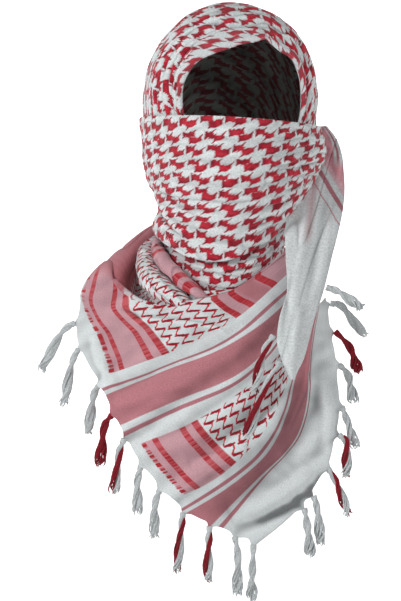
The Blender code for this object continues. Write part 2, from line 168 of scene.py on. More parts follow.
NAPE_RINGS = Table("z left right front back turn*", (
    (-330, -125, 102, -80, 118, 0),
    (-285, -101, 88, -78, 106, 0),
    (-255, -85, 79, -78, 95, 0),
    (-228, -80, 74, -78, 90, 0),
))
NAPE_EDGES = Table("side* top bottom", (
    (62, -256, -290),
    (90, -248, -300),
    (120, -243, -312),
    (150, -240, -322),
    (180, -239, -325),
    (210, -238, -318),
    (238, -242, -300),
))
BED_RINGS = Table("z left right front back turn*", (
    (-314, -86, 80, -90, 100, 0),
    (-294, -79, 76, -89, 92, 0),
    (-280, -74.5, 70, -88.5, 86, 0),
))
BED_EDGES = Table("side* top bottom", (
    (-100, -285, -312),
    (-60, -286, -314),
    (-20, -287, -312),
    (20, -284, -310),
    (58, -281, -306),
))
COLLAR_NET = Table("along* x y z radius", (
    (0, -70, 40, -236, 5.2),
    (0.2, -80, 14, -244, 7.6),
    (0.4, -82.6, -16.2, -256.5, 9.6),
    (0.6, -79, -48, -271, 11.2),
    (0.8, -69, -73.5, -284, 11.8),
    (1, -49, -84, -296, 8),
    (1.2, -25, -79, -314, 4),
))
COLLAR_PINK = Table("along* x y z radius", (
    (0, -71.2, 5, -232.5, 2.8),
    (0.25, -71.8, -16.2, -241.2, 4.8),
    (0.5, -68.7, -45.8, -252.8, 6.2),
    (0.75, -57.2, -72.2, -267.2, 6.6),
    (1, -40, -87, -283, 6.6),
    (1.2, -15, -88, -302, 3),
))
DRAPE = Table("course* a_x a_z b_x b_z c_x c_z d_x d_z e_x e_z", (
    (0, -152, -291, -100, -301, -48, -299, 6, -285, 61, -246),
    (0.125, -154, -331, -101, -330, -46, -322, 8, -301, 62, -258),
    (0.25, -143, -359, -90, -354, -36, -339, 15, -313, 64, -270),
    (0.375, -124, -389, -72, -370, -20, -345, 28, -310, 67, -281),
    (0.5, -103, -431, -56, -408, -8, -381, 36, -346, 73, -294),
    (0.625, -80, -466, -31, -441, 14, -404, 52, -360, 79, -300),
    (0.75, -45, -503, 2, -471, 43, -427, 64, -368, 85, -302),
    (0.875, -15, -518, 30, -472, 70, -425, 80, -362, 91, -300),
    (1, 29, -536, 78, -493, 107, -428, 108, -362, 99, -292),
))
CHEST = Table("z front fall*", (
    (-540, -128, 2.4),
    (-450, -126, 2.7),
    (-400, -119, 3.1),
    (-350, -109, 3.6),
    (-300, -97, 4),
    (-240, -82, 4.2),
))
SHOULDER_LINES = ("back", "crest", "front", "pocket", "inner")
SHOULDER = Table("along* " + " ".join(f"{line}_{c}" for line in SHOULDER_LINES for c in "xyz"), (
    (0, -148, 46, -332, -147, 18, -287, -116, -30, -289, -89, -61, -312, -80, -70, -318),
    (0.35, -128, 62, -326, -124, 22, -258, -111.2, -22, -271, -93.5, -41, -306, -81.5, -50, -308),
    (0.7, -106, 76, -318, -99, 30, -238, -98.8, 1, -256, -96.5, -12, -292, -83, -22, -296),
    (1, -90, 86, -310, -83, 46, -226, -86, 22, -246, -93, 10, -276, -80, 4, -280),
    (1.25, -74, 90, -300, -68, 60, -218, -74, 38, -236, -83, 24, -262, -76, 18, -268),
))
TAIL = Table("drop left_x left_y right_x right_y", (
    (-374, 60, -134, 63.5, -133),
    (-366, 56.5, -134, 66.5, -131),
    (-354, 51, -133, 72.5, -126),
    (-338, 46.8, -131, 77.5, -118),
    (-314, 49, -123, 84, -105),
    (-288, 57, -110, 93, -89),
    (-253, 56, -88, 102.5, -67),
    (-218, 57, -68, 112, -42),
    (-201, 67, -52, 115.5, -28),
    (-186, 75, -38, 117, -16),
    (-166, 83, -10, 116.5, -6),
    (-146, 88, 8, 114.5, 0),
    (-131, 89, 14, 109, 6),
    (-119, 87, 14, 100, 10),
))
TASSELS = (
    # edge, place along it, then how far its middle and its tip lie across and up, and its thread
    ("fringe", 0.085, -13, -10, -34, -47, "white"),
    ("fringe", 0.185, -7, -16, -15, -56, "white"),
    ("fringe", 0.345, -5, -12, -10, -47, "white"),
    ("fringe", 0.435, -8, -13, -13, -50, "red"),
    ("fringe", 0.505, -5, -15, -10, -53, "mixed"),
    ("fringe", 0.6, -3, -14, -4, -46, "white"),
    ("fringe", 0.675, -5, -17, -5, -46, "white"),
    ("fringe", 0.755, -2, -18, -6, -57, "mixed"),
    ("fringe", 0.865, -1, -18, -2, -53, "mixed"),
    ("fringe", 0.94, 3, -21, 2, -56, "white"),
    ("fringe", 0.99, -1, -26, -2, -56, "white"),
    ("side", 0.215, 3, -18, 6, -46, "white"),
    ("side", 0.27, 4, -15, 7, -47, "white"),
    ("side", 0.375, 10, -17, 20, -46, "mixed"),
    ("side", 0.495, 8, -10, 7, -42, "mixed"),
    ("side", 0.6, 6, -15, 14, -40, "white"),
    ("side", 0.755, 9, -11, 14, -37, "white"),
    ("side", 0.86, 16, -18, 23, -41, "red"),
    ("side", 0.955, 12, -4, 34, -32, "white"),
    ("tail_right", 0.645, 13, -5, 35, -21, "white"),
    ("tail_left", 0.83, -10, -19, -19, -55, "mixed"),
    ("tail_left", 0.93, -17, -32, -37, -88, "mixed"),
)


# ---------------------------------------------------------------- surfaces


def smooth_step(low, high, value):
    t = np.clip((value - low) / (high - low), 0, 1)
    return t * t * (3 - 2 * t)


def stack(x, y, z):
    return np.stack(np.broadcast_arrays(x, y, z), axis=-1)


def turned(points, angle):
    """Points turned about the Z axis."""
    c, s = np.cos(angle), np.sin(angle)
    x, y = points[..., 0], points[..., 1]
    return stack(x * c - y * s, x * s + y * c, points[..., 2])


def unit(vectors):
    return vectors / (np.linalg.norm(vectors, axis=-1, keepdims=True) + 1e-12)


def hood_point(u, v):
    row = HOOD.at(v)
    c, s = np.cos(2 * math.pi * u), np.sin(2 * math.pi * u)
    c = np.sign(c) * np.abs(c) ** row["squareness"]
    s = np.sign(s) * np.abs(s) ** row["squareness"]
    y = 0.5 * (row["near_y"] + row["far_y"]) + 0.5 * (row["far_y"] - row["near_y"]) * c
    z = 0.5 * (row["near_z"] + row["far_z"]) + 0.5 * (row["far_z"] - row["near_z"]) * c
    return turned(stack(row["half_width"] * s, y, z), HEAD_TURN)


def ring_point(rings, side, z, out=0.0):
    row = rings.at(z)
    turn = np.radians(row["turn"])
    angle = np.radians(side) - turn
    half_width = 0.5 * (row["right"] - row["left"]) + out
    half_depth = 0.5 * (row["back"] - row["front"]) + out
    centre = stack(0.5 * (row["left"] + row["right"]), 0.5 * (row["front"] + row["back"]), z)
    return centre + turned(stack(half_width * np.sin(angle), -half_depth * np.cos(angle), 0 * z), turn)


def band_place(edges, u, v):
    side = edges.keys[0] + (edges.keys[-1] - edges.keys[0]) * u
    row = edges.at(side)
    return side, row["bottom"] + (row["top"] - row["bottom"]) * v


def band_point(rings, edges, u, v, out=0.0):
    side, z = band_place(edges, u, v)
    return ring_point(rings, side, z, out)


def face_wrap_point(u, v):
    side, z = band_place(FACE_EDGES, u, v)
    height = (z - TUCK_Z) / TUCK_REACH
    flare = TUCK_FLARE * np.exp(-height * height) * smooth_step(TUCK_START, TUCK_FULL, side)
    return ring_point(FACE_RINGS, side, z, flare)


def roll_point(path, u, v):
    row, ahead, behind = path.at(v), path.at(v + 0.02), path.at(v - 0.02)
    along = unit(stack(*(ahead[c] - behind[c] for c in "xyz")))
    centre = stack(*(row[c] for c in "xyz"))
    away = unit(stack(row["x"], row["y"], 0 * v))
    side = unit(away - along * np.sum(along * away, axis=-1, keepdims=True))
    up = np.cross(along, side)
    up *= np.sign(up[..., 2:3])
    angle = (1.5 * math.pi + 0.5 * ROLL_OPEN + (2 * math.pi - ROLL_OPEN) * u)[..., None]
    return centre + row["radius"][..., None] * (side * np.cos(angle) + up * np.sin(angle))


def through(guides, u):
    """The smooth line through evenly spaced guide points, at u from 0 to 1."""
    guides = np.stack(np.broadcast_arrays(*guides))
    last = len(guides) - 1
    i = np.clip((u * last).astype(int), 0, last - 1)
    t = (u * last - i)[..., None]

    def pick(k):
        k = np.clip(k, 0, last)[None, ..., None]
        return np.take_along_axis(guides, np.broadcast_to(k, (1,) + guides.shape[1:]), axis=0)[0]

    before, start, end, after = pick(i - 1), pick(i), pick(i + 1), pick(i + 2)
    return hermite(start, end, 0.5 * (end - before), 0.5 * (after - start), t)


def drape_point(u, v):
    row = DRAPE.at(v)
    place = through([stack(row[f"{guide}_x"], 0 * u, row[f"{guide}_z"]) for guide in "abcde"], u)
    chest = CHEST.at(place[..., 2])
    place[..., 1] = chest["front"] + chest["fall"] * place[..., 0] ** 2
    return place


def shoulder_point(u, v):
    row = SHOULDER.at(v)
    return through([stack(*(row[f"{line}_{c}"] for c in "xyz")) for line in SHOULDER_LINES], u)


def tail_point(u, v):
    z = TAIL_TOP + (TAIL_FOOT - TAIL_TOP) * v
    row = TAIL.at(z)
    x = row["left_x"] + (row["right_x"] - row["left_x"]) * u
    y = row["left_y"] + (row["right_y"] - row["left_y"]) * u
    belly = TAIL_BELLY * 4 * u * (1 - u) * smooth_step(0.25, 0.5, v)
    return stack(x, y - belly, z)


# ---------------------------------------------------------------- cloth in numpy


def value_noise(x, y, seed):
    """Smooth noise from -1 to 1, one bump to each unit of x and y."""
    i, j = np.floor(x).astype(int), np.floor(y).astype(int)
    fx, fy = x - i, y - j
    fx, fy = fx * fx * (3 - 2 * fx), fy * fy * (3 - 2 * fy)

    def corner(a, b):
        h = (a * 374761393 + b * 668265263 + seed * 974634777) & 0xFFFFFFFF
        h = ((h ^ (h >> 13)) * 1274126177) & 0xFFFFFFFF
        return ((h ^ (h >> 16)) & 0xFFFF) / 32767.5 - 1

    low = corner(i, j) * (1 - fx) + corner(i + 1, j) * fx
    high = corner(i, j + 1) * (1 - fx) + corner(i + 1, j + 1) * fx
    return low * (1 - fy) + high * fy


def distance_to(path, a, b):
    """Distance from points (a, b) to a line of guides, the share of its length there, and the side."""
    path = np.array(path, float)
    steps = np.linalg.norm(np.diff(path, axis=0), axis=1)
    reached = np.concatenate([[0], np.cumsum(steps)])
    best = np.full(a.shape, 1e9)
    share, side = np.zeros(a.shape), np.ones(a.shape)
    for k, step in enumerate(steps):
        da, db = (path[k + 1] - path[k]) / step
        ra, rb = a - path[k, 0], b - path[k, 1]
        t = np.clip(ra * da + rb * db, 0, step)
        gap = np.hypot(ra - t * da, rb - t * db)
        near = gap < best
        best = np.where(near, gap, best)
        share = np.where(near, (reached[k] + t) / reached[-1], share)
        side = np.where(near, np.sign(ra * db - rb * da), side)
    return best, share, side


FOLD_GAIN = 1.6  # all creases are this much deeper than their rows say


def fold_height(folds, a, b):
    """Height of all the creases, in metres. A fold is (path, height, width, kind), in millimetres."""
    total = np.zeros(a.shape)
    for path, height, width, kind in folds:
        gap, share, side = distance_to(path, a, b)
        fade = np.sin(math.pi * np.clip(share, 0.02, 0.98)) ** 0.6
        if kind == "ridge":
            shape = np.exp(-((gap / width) ** 2))
        elif kind == "step":  # a layer that starts at the line, on its right-hand side
            signed = gap * side
            shape = smooth_step(-1.2, 0.6, signed) * np.exp(-((np.maximum(signed, 0) / width) ** 1.5))
        else:  # "sharp"
            shape = np.exp(-gap / width)
        total += height * fade * shape
    return total * MM * FOLD_GAIN


def valleys(a, b, seed):
    """Thin wandering creases, from 0 to 1 deep, where a smooth noise crosses nought."""
    return (1 - np.minimum(np.abs(value_noise(a, b, seed)) * 1.6, 1)) ** 4


def grid_normals(points, ring):
    if ring:
        around = np.roll(points, -1, axis=1) - np.roll(points, 1, axis=1)
    else:
        around = np.gradient(points, axis=1)
    return unit(np.cross(around, np.gradient(points, axis=0)))


def arc_lengths(points, axis):
    """Running length along a grid's lines."""
    steps = np.linalg.norm(np.diff(points, axis=axis), axis=-1)
    pad = [(0, 0), (0, 0)]
    pad[axis] = (1, 0)
    return np.pad(np.cumsum(steps, axis=axis), pad)


# Painted shade and highlight: creases are painted darker and ridges lighter, by how far they lie below or
# above the cloth round them.
HOLLOW_REACH = 5  # grid steps each way over which a crease is compared with the cloth round it
HOLLOW_PAINTED_SHADE = 330  # how much darker a crease is for each metre that it lies below that cloth
# The painted shade's darkest and the painted highlight's brightest, as shares of the colour.
DARKEST_PAINTED_SHADE, BRIGHTEST_PAINTED_HIGHLIGHT = 0.38, 1.12


def painted_hollow_shade(height):
    """Painted shade of the cloth: under 1 (painted shade) in creases that lie below the cloth round them,
    over 1 (painted highlight) on ridges.
    """
    level, width = height, 2 * HOLLOW_REACH + 1
    for axis in (0, 1):
        pad = [(0, 0), (0, 0)]
        pad[axis] = (HOLLOW_REACH + 1, HOLLOW_REACH)
        total = np.cumsum(np.pad(level, pad, mode="edge"), axis=axis)
        ahead = np.take(total, range(width, total.shape[axis]), axis)
        behind = np.take(total, range(total.shape[axis] - width), axis)
        level = (ahead - behind) / width
    return np.clip(1 + HOLLOW_PAINTED_SHADE * (height - level), DARKEST_PAINTED_SHADE, BRIGHTEST_PAINTED_HIGHLIGHT)


def mesh_object(name, verts, faces, materials):
    mesh = bpy.data.meshes.new(name)
    mesh.from_pydata(verts, [], faces)
    for material in materials:
        mesh.materials.append(material)
    mesh.shade_smooth()
    obj = bpy.data.objects.new(name, mesh)
    bpy.context.scene.collection.objects.link(obj)
    return obj


def add_layer(mesh, name, places):
    """A UV layer, from one place for each corner of a face."""
    layer = mesh.uv_layers.new(name=name)
    layer.data.foreach_set("uv", places.astype(np.float32).reshape(-1))


def cloth_piece(name, points, uv, materials, ring=False, inner_slot=0, run=None, shade=None):
    """A thin closed shell on a grid of points. uv is a grid of pattern places, in metres of cloth."""
    rows, columns = points.shape[:2]
    out = grid_normals(points, ring) * 0.5 * CLOTH
    verts = np.concatenate([(points + out).reshape(-1, 3), (points - out).reshape(-1, 3)])
    count = rows * columns
    index = np.arange(count).reshape(rows, columns)
    if ring:
        index = np.hstack([index, index[:, :1]])
    corners = [index[:-1, :-1], index[:-1, 1:], index[1:, 1:], index[1:, :-1]]
    quads = np.stack(corners, axis=-1).reshape(-1, 4)

    def rim(line):
        return np.stack([line[:-1], line[:-1] + count, line[1:] + count, line[1:]], axis=-1)

    faces = [quads, quads[:, ::-1] + count, rim(index[0]), rim(index[-1])[:, ::-1]]
    if not ring:
        faces += [rim(index[:, 0])[:, ::-1], rim(index[:, -1])]
    faces = np.concatenate(faces)
    slots = np.zeros(len(faces), np.int32)
    slots[len(quads) : 2 * len(quads)] = inner_slot
    obj = mesh_object(name, verts.tolist(), faces.tolist(), materials)
    mesh = obj.data
    for layer, places in (("cloth", uv), ("run", run)):
        if places is not None:
            both = np.concatenate([places.reshape(-1, 2)] * 2)
            add_layer(mesh, layer, both[faces.reshape(-1)])
    # Painted shade and highlight at each point, kept as the shade attribute; 1 where none is given.
    shade = np.ones((rows, columns)) if shade is None else shade
    shades = mesh.attributes.new("shade", "FLOAT", "POINT")
    shades.data.foreach_set("value", np.concatenate([shade.reshape(-1)] * 2).astype(np.float32))
    mesh.polygons.foreach_set("material_index", slots)
    mesh.validate()
    return obj


def grid(across, along):
    return np.meshgrid(np.linspace(0, 1, across + 1), np.linspace(0, 1, along + 1))


def displaced(points, height, ring=False):
    return points + grid_normals(points, ring) * height[..., None]


SLACKEST = 0.31  # cloth that shows covers at least this share of the rectangle it is cut from


def wear(obj, node, slot, smooth, ring=False):
    """The piece rides on the frame and stands for its CAD node, which it hides.

    The cut is that of the cloth that shows: its longest course, its longest line across them and its area,
    measured on the smooth surface before the small creases go in.
    """
    if ring:
        smooth = np.concatenate([smooth, smooth[:, :1]], axis=1)
    across = float(arc_lengths(smooth, 1)[:, -1].max())
    along = float(arc_lengths(smooth, 0)[-1].max())
    cells = np.cross(smooth[1:, 1:] - smooth[:-1, :-1], smooth[1:, :-1] - smooth[:-1, 1:])
    area = float(0.5 * np.linalg.norm(cells, axis=-1).sum())
    area = min(max(area, SLACKEST * across * along), across * along)
    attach(obj, "root")
    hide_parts(node)


# ---------------------------------------------------------------- node arithmetic


def operation(name):
    """A method of Value that does one of Blender's sums."""
    return lambda self, *others: self.math(name, *others)


class Value:
    """A number in a shader, with ordinary arithmetic."""

    def __init__(self, tree, socket):
        self.tree, self.socket = tree, socket

    def math(self, name, *others, clamp=False):
        node = self.tree.nodes.new("ShaderNodeMath")
        node.operation, node.use_clamp = name, clamp
        for slot, other in zip(node.inputs, (self, *others)):
            feed(self.tree, slot, other)
        return Value(self.tree, node.outputs[0])

    __add__, __sub__, __mul__ = operation("ADD"), operation("SUBTRACT"), operation("MULTIPLY")
    over, top, least = operation("DIVIDE"), operation("MAXIMUM"), operation("MINIMUM")
    size, whole, part = operation("ABSOLUTE"), operation("ROUND"), operation("FRACT")

    def __neg__(self):
        return self * -1

    def __rsub__(self, other):
        return -self + other

    def below(self, limit, soft=0.3):
        """1 where this is under the limit and 0 over it, with a soft step between."""
        return ((self - limit) * (-1 / soft) + 0.5).math("MULTIPLY", 1.0, clamp=True)

    def above(self, limit, soft=0.3):
        """The same step the other way round."""
        return self.below(limit, -soft)

    def between(self, low, high, soft=0.3):
        return self.above(low, soft) * self.below(high, soft)

    def mixed(self, other, share):
        """From this to the other as share goes from 0 to 1."""
        return self + (other - self) * share


def feed(tree, slot, what):
    """Puts a value, another node's socket or a constant on a node's input."""
    if isinstance(what, Value):
        what = what.socket
    if isinstance(what, bpy.types.NodeSocket):
        tree.links.new(what, slot)
    else:
        slot.default_value = what


def joined(tree, *parts):
    """A vector of up to three parts."""
    join = tree.nodes.new("ShaderNodeCombineXYZ")
    for slot, part in zip(join.inputs, parts):
        feed(tree, slot, part)
    return join.outputs[0]


def white_noise(tree, *parts):
    """One even random number from 0 to 1 for each place."""
    node = tree.nodes.new("ShaderNodeTexWhiteNoise")
    node.noise_dimensions = "3D"
    feed(tree, node.inputs["Vector"], joined(tree, *parts))
    return Value(tree, node.outputs["Value"])


def soft_noise(tree, x, y, scale, detail):
    node = tree.nodes.new("ShaderNodeTexNoise")
    for name, what in (("Scale", scale), ("Detail", detail), ("Vector", joined(tree, x, y))):
        feed(tree, node.inputs[name], what)
    return Value(tree, node.outputs["Fac"])


def blend_colour(tree, share, first, second, kind="MIX"):
    node = tree.nodes.new("ShaderNodeMix")
    node.data_type, node.blend_type = "RGBA", kind
    for name, what in (("Factor", share), ("A", first), ("B", second)):
        feed(tree, node.inputs[name], what)
    return node.outputs["Result"]


def srgb(red, green, blue):
    """A colour given as it looks, from 0 to 255, as linear light."""
    parts = [c / 255 for c in (red, green, blue)]
    return tuple(c / 12.92 if c <= 0.04045 else ((c + 0.055) / 1.055) ** 2.4 for c in parts) + (1.0,)


WHITE = srgb(222, 227, 228)
PALE_PINK = srgb(204, 157, 165)
BAND_PINK = srgb(190, 124, 132)
LINE_PINK = srgb(182, 116, 126)
RED = srgb(192, 30, 50)
DARK_RED = srgb(112, 12, 32)
STRIPE_RED = srgb(200, 46, 56)
STREAK_RED = srgb(208, 84, 98)  # the lighter line along each float of red yarn
# The check inside the hood, painted darker as shade.
PAINTED_SHADE_INNER_WHITE, PAINTED_SHADE_INNER_RED = srgb(150, 160, 155), srgb(130, 42, 58)
# The hanging end's pale and pink are painted lighter than the same yarns elsewhere, as painted light where it
# faces away from the key lamp; the third colour is painted shade for its hollow.
TAIL_PALE_PAINTED_LIGHT, TAIL_PINK_PAINTED_LIGHT, TAIL_PAINTED_SHADE = srgb(226, 186, 193), srgb(226, 160, 170), srgb(186, 138, 146)
COTTON = {"Roughness": 0.92, "Sheen Weight": 0.15, "Sheen Roughness": 0.6, "Specular IOR Level": 0.15}
THREAD_PITCH = 1.15  # millimetres from thread to thread of the weave
# Three noises over the cloth: how many bumps they have to a millimetre.
YARN_GRAIN, CLOUD_GRAIN, RUMPLE_GRAIN = 0.55, 0.05, 0.13
CLOUDS = 0.12  # how much the cloudy unevenness changes the colour
THREAD_HEIGHT, YARN_HEIGHT, RUMPLE_HEIGHT = 0.12, 0.5, 3.0
BUMP = 0.0006  # metres of bump for each unit of height


class Cloth:
    """A cotton material under way: its pattern place in millimetres, its colour and its height."""

    def __init__(self, name):
        self.material = bpy.data.materials.new(name)
        self.material.use_nodes = True
        self.tree = self.material.node_tree
        self.shader = self.tree.nodes["Principled BSDF"]
        for name, value in COTTON.items():
            self.shader.inputs[name].default_value = value
        self.x, self.y = self.place("cloth")
        self.colour = WHITE
        self.height = None

    def place(self, layer):
        """A UV layer's two coordinates, in millimetres."""
        place = self.tree.nodes.new("ShaderNodeUVMap")
        place.uv_map = layer
        split = self.tree.nodes.new("ShaderNodeSeparateXYZ")
        self.tree.links.new(place.outputs[0], split.inputs[0])
        return [Value(self.tree, out) * 1000 for out in split.outputs[:2]]

    def lay(self, share, colour):
        self.colour = blend_colour(self.tree, share, self.colour, colour)

    def finish(self, weave=0.5, speckle=0.18, with_painted_shade=True):
        """Adds the weave's threads, the slight unevenness of the yarn, the painted shade of the creases and
        the bump.
        """
        x, y, tree = self.x, self.y, self.tree
        warp = ((x + y) * (2 * math.pi / THREAD_PITCH)).math("SINE")
        weft = ((x - y) * (2 * math.pi / THREAD_PITCH)).math("SINE")
        yarn = soft_noise(tree, x, y, YARN_GRAIN, 2.0) - 0.5
        cloudy = soft_noise(tree, x, y, CLOUD_GRAIN, 2.0) - 0.5
        rumple = soft_noise(tree, x, y, RUMPLE_GRAIN, 3.0) - 0.5
        tone = yarn * (4 * speckle) + cloudy * CLOUDS + 1.0
        # Painted shade and highlight, read from each piece's shade attribute.
        if with_painted_shade:
            shade = tree.nodes.new("ShaderNodeAttribute")
            shade.attribute_name = "shade"
            tone = tone * Value(tree, shade.outputs["Fac"])
        toned = blend_colour(tree, 1.0, self.colour, joined(tree, tone, tone, tone), "MULTIPLY")
        feed(tree, self.shader.inputs["Base Color"], toned)
        height = warp * weft * THREAD_HEIGHT + yarn * YARN_HEIGHT + rumple * RUMPLE_HEIGHT
        if self.height is not None:
            height = height + self.height
        bump = tree.nodes.new("ShaderNodeBump")
        for name, what in (("Strength", weave), ("Distance", BUMP), ("Height", height)):
            feed(tree, bump.inputs[name], what)
        feed(tree, self.shader.inputs["Normal"], bump.outputs[0])
        return self.material


# The woven check: one red figure at each point of this lattice, large and small by turns. Millimetres.
CHECK_ACROSS = (25.6, 1.0)
CHECK_DOWN = (3.6, -14.7)
FLOAT_SLANT = 1.19  # how far a float of red yarn leans sideways for each millimetre it climbs
FLOAT_WIDTH = 1.7
# Each figure is two blocks: their middles, half widths and half heights.
LARGE_FIGURE = ((-5.0, 2.75, 6.9, 2.6), (3.4, -2.6, 7.4, 3.7))
SMALL_FIGURE = ((-6.7, 1.4, 5.0, 3.1), (3.1, -1.65, 5.4, 3.1))
SPUR = 3.4  # how far a loose float runs on past a block's corner
SPUR_WIDTH = 1.25
CORNER_CUT = 0.5  # slope of the cut-off lower right corner
# How the weave drifts across and down: bumps to a millimetre, and how far.
CHECK_WANDER = ((0.09, 4.0), (0.07, 3.0))
RAGGED, UNEVEN = 2.0, 0.8  # how much the height differs from float to float, and from figure to figure


def check_mask(cloth, x, y):
    """Four shares at a place in millimetres: the red, the pale round it, lighter streaks and dark tips."""
    tree = cloth.tree
    (ax, ay), (dx, dy) = CHECK_ACROSS, CHECK_DOWN
    area = ax * dy - ay * dx
    (across, drift), (down, sink) = CHECK_WANDER
    x = x + (soft_noise(tree, x, y, across, 1.0) - 0.5) * drift
    y = y + (soft_noise(tree, y, x, down, 1.0) - 0.5) * sink
    i = ((x * dy) - (y * dx)).over(area).whole()
    j = ((y * ax) - (x * ay)).over(area).whole()
    p = x - i * ax - j * dx
    q = y - i * ay - j * dy
    small = ((i + j) * 0.5).part().size().above(0.25, 0.1)
    lean = p - q * FLOAT_SLANT
    strip = lean.over(FLOAT_WIDTH).whole()
    step = strip * FLOAT_WIDTH + q * FLOAT_SLANT
    ragged = (white_noise(tree, strip, i, j) - 0.45) * RAGGED + (white_noise(tree, i, j, 5.0) - 0.5) * UNEVEN
    outside = None
    for number, sizes in enumerate(zip(LARGE_FIGURE, SMALL_FIGURE)):
        p0, q0, w, h = (small * (b - a) + a for a, b in zip(*sizes))
        rise = q - q0
        beyond = (step - p0).size() - w
        high = rise - h - ragged
        low = (((p - p0).top(0) * (CORNER_CUT * number)) - h) - rise - ragged * (1 - number)
        beyond = beyond.top(high).top(low)
        corner = p0 + w - (q0 + h) * FLOAT_SLANT
        upper = (lean - corner + 1.0).size() + (rise - h).top(0) * 0.30 - SPUR_WIDTH
        upper = upper.top(-rise).top(rise - h - SPUR)
        corner = p0 - w - (q0 - h) * FLOAT_SLANT
        lower = (lean - corner - 1.0).size() - (rise + h).least(0) * 0.30 - SPUR_WIDTH
        lower = lower.top(rise).top(-rise - h - SPUR)
        beyond = beyond.least(upper).least(lower)
        outside = beyond if outside is None else outside.least(beyond)
    mask, halo = outside.below(0, 0.5), outside.below(0.5, 1.6)
    line = (lean.over(FLOAT_WIDTH).part() - 0.5).size().above(0.30, 0.3)
    streak = line * white_noise(tree, strip, i + 7, j)
    tip = q.size().above(4.4, 3.0).top((p.size() - 8.5).above(0, 4.0))
    return mask, halo, streak, tip


def lay_check(cloth, strength):
    tree, x, y = cloth.tree, cloth.x, cloth.y
    mask, halo, streak, tip = check_mask(cloth, x, y)
    cloth.lay(halo * 0.75, PALE_PINK)
    patch = soft_noise(tree, x, y, 0.11, 2.0).above(0.56, 0.16)
    red = RED
    for share, colour in ((tip * 0.75, DARK_RED), (streak * 0.55, STREAK_RED), (patch * 0.55, DARK_RED)):
        red = blend_colour(tree, share, red, colour)
    cloth.lay(mask * strength, red)
    cloth.height = mask * 0.7


NET_PITCH = 12.6  # from line to line across the net
NET_STEP = 9.4  # from swing to swing along a line
NET_SWING = 3.2  # how far a line swings to either side
NET_OVER = 0.40  # share of a step in which a line swings over, thick, before it returns, thin
NET_DRIFT, NET_WANDER = 1.6, 6  # how far single swings are out of place, and how far whole lines wander
THIN_LINE, THICKER, THICKEST = 1.1, 1.2, 1.8  # half the thin line's width, and what swings over add to it


def lay_net(cloth, t, s, share=None):
    """Wavy lines of red that run along s, side by side across t, where share is 1 or all over."""
    tree = cloth.tree
    place = t.over(NET_PITCH)
    number = place.whole()
    across = (place - number) * NET_PITCH
    beat = s.over(NET_STEP) + number * 0.5
    phase = beat.part()
    drift = (white_noise(tree, number, beat.math("FLOOR"), 3.0) - 0.5) * NET_DRIFT
    over = phase.below(NET_OVER, 0.01)
    swing = phase * (2 / NET_OVER) - 1
    back = 1.0 - (phase - NET_OVER) * (2 / (1 - NET_OVER))
    zig = back.mixed(swing, over)
    zig = zig * (1.5 - zig * zig * 0.5) * NET_SWING
    thick = over * (phase - 0.22).size().below(0.15, 0.12)
    wander = (soft_noise(tree, t, s, 0.22, 2.0) - 0.5) * NET_WANDER
    away = (across - zig + drift + wander).size()
    line = (away - over * THICKER - thick * THICKEST).below(THIN_LINE, 0.9)
    shown = line if share is None else share * line
    cloth.lay(shown, blend_colour(tree, thick * 0.6, RED, DARK_RED))


BAR_LENGTH = 1.5  # millimetres along a stripe for each of its short bars


def lay_stripe(cloth, t, s, low, high, dashed=False, share=1.0, broken=0.3):
    """A red stripe of short bars across t from low to high. Dashed leaves some bars out."""
    bar = white_noise(cloth.tree, s.over(BAR_LENGTH).whole(), low, 1.0)
    inside = t.between(low, high, 0.6)
    strength = bar.above(0.42, 0.3) if dashed else bar * broken + (1 - broken)
    cloth.lay(inside * strength * share, blend_colour(cloth.tree, bar * 0.35, STRIPE_RED, DARK_RED))


def check_material(name, strength=1.0):
    cloth = Cloth(name)
    lay_check(cloth, strength)
    return cloth.finish()


def painted_shade_inner_material():
    """The cloth's back inside the hood, painted dark as shade: dull, deep in the hollow."""
    cloth = Cloth("check_inside_painted_shade")
    cloth.colour = PAINTED_SHADE_INNER_WHITE
    cloth.lay(check_mask(cloth, cloth.x, cloth.y)[0] * 0.85, PAINTED_SHADE_INNER_RED)
    return cloth.finish(speckle=0.12)


# The border across the drape: where its lines run, as shares of the courses, at each distance in
# millimetres from the fringe: block a, its thin, wide and low lines, then block b and its lines.
BORDER_LINES = Table("reach a_end thin_1 wide_1 low_1 b_start b_end thin_2 wide_2 wide_2_end low_2", (
    (0, 0.325, 0.362, 0.386, 0.50, 0.540, 0.710, 0.742, 0.762, 0.866, 0.900),
    (45, 0.302, 0.356, 0.380, 0.50, 0.550, 0.720, 0.740, 0.775, 0.867, 0.888),
    (85, 0.268, 0.356, 0.385, 0.51, 0.560, 0.718, 0.748, 0.790, 0.876, 0.886),
    (125, 0.240, 0.380, 0.405, 0.53, 0.565, 0.712, 0.742, 0.770, 0.878, 0.890),
    (165, 0.222, 0.388, 0.418, 0.53, 0.565, 0.710, 0.740, 0.768, 0.876, 0.890),
    (225, 0.200, 0.345, 0.425, 0.53, 0.565, 0.710, 0.738, 0.768, 0.862, 0.880),
), unit=1)
BORDER_PLACES = (0, 0.320, 0.375, 0.401, 0.500, 0.545, 0.715, 0.750, 0.776, 0.849, 0.875, 1)
# The bars along a course, in millimetres from the fringe: on the upper block they stand wider apart.
UPPER_BARS = (0, 24, 35.5, 71, 88, 230)
EVEN_BARS = (0, 15, 27, 56, 69, 190)
UPPER_BOW = 14  # how far the bars bow out in the middle of the upper block
UPPER_TURN = 17  # how far the bars are drawn out over the shoulder at the drape's top edge


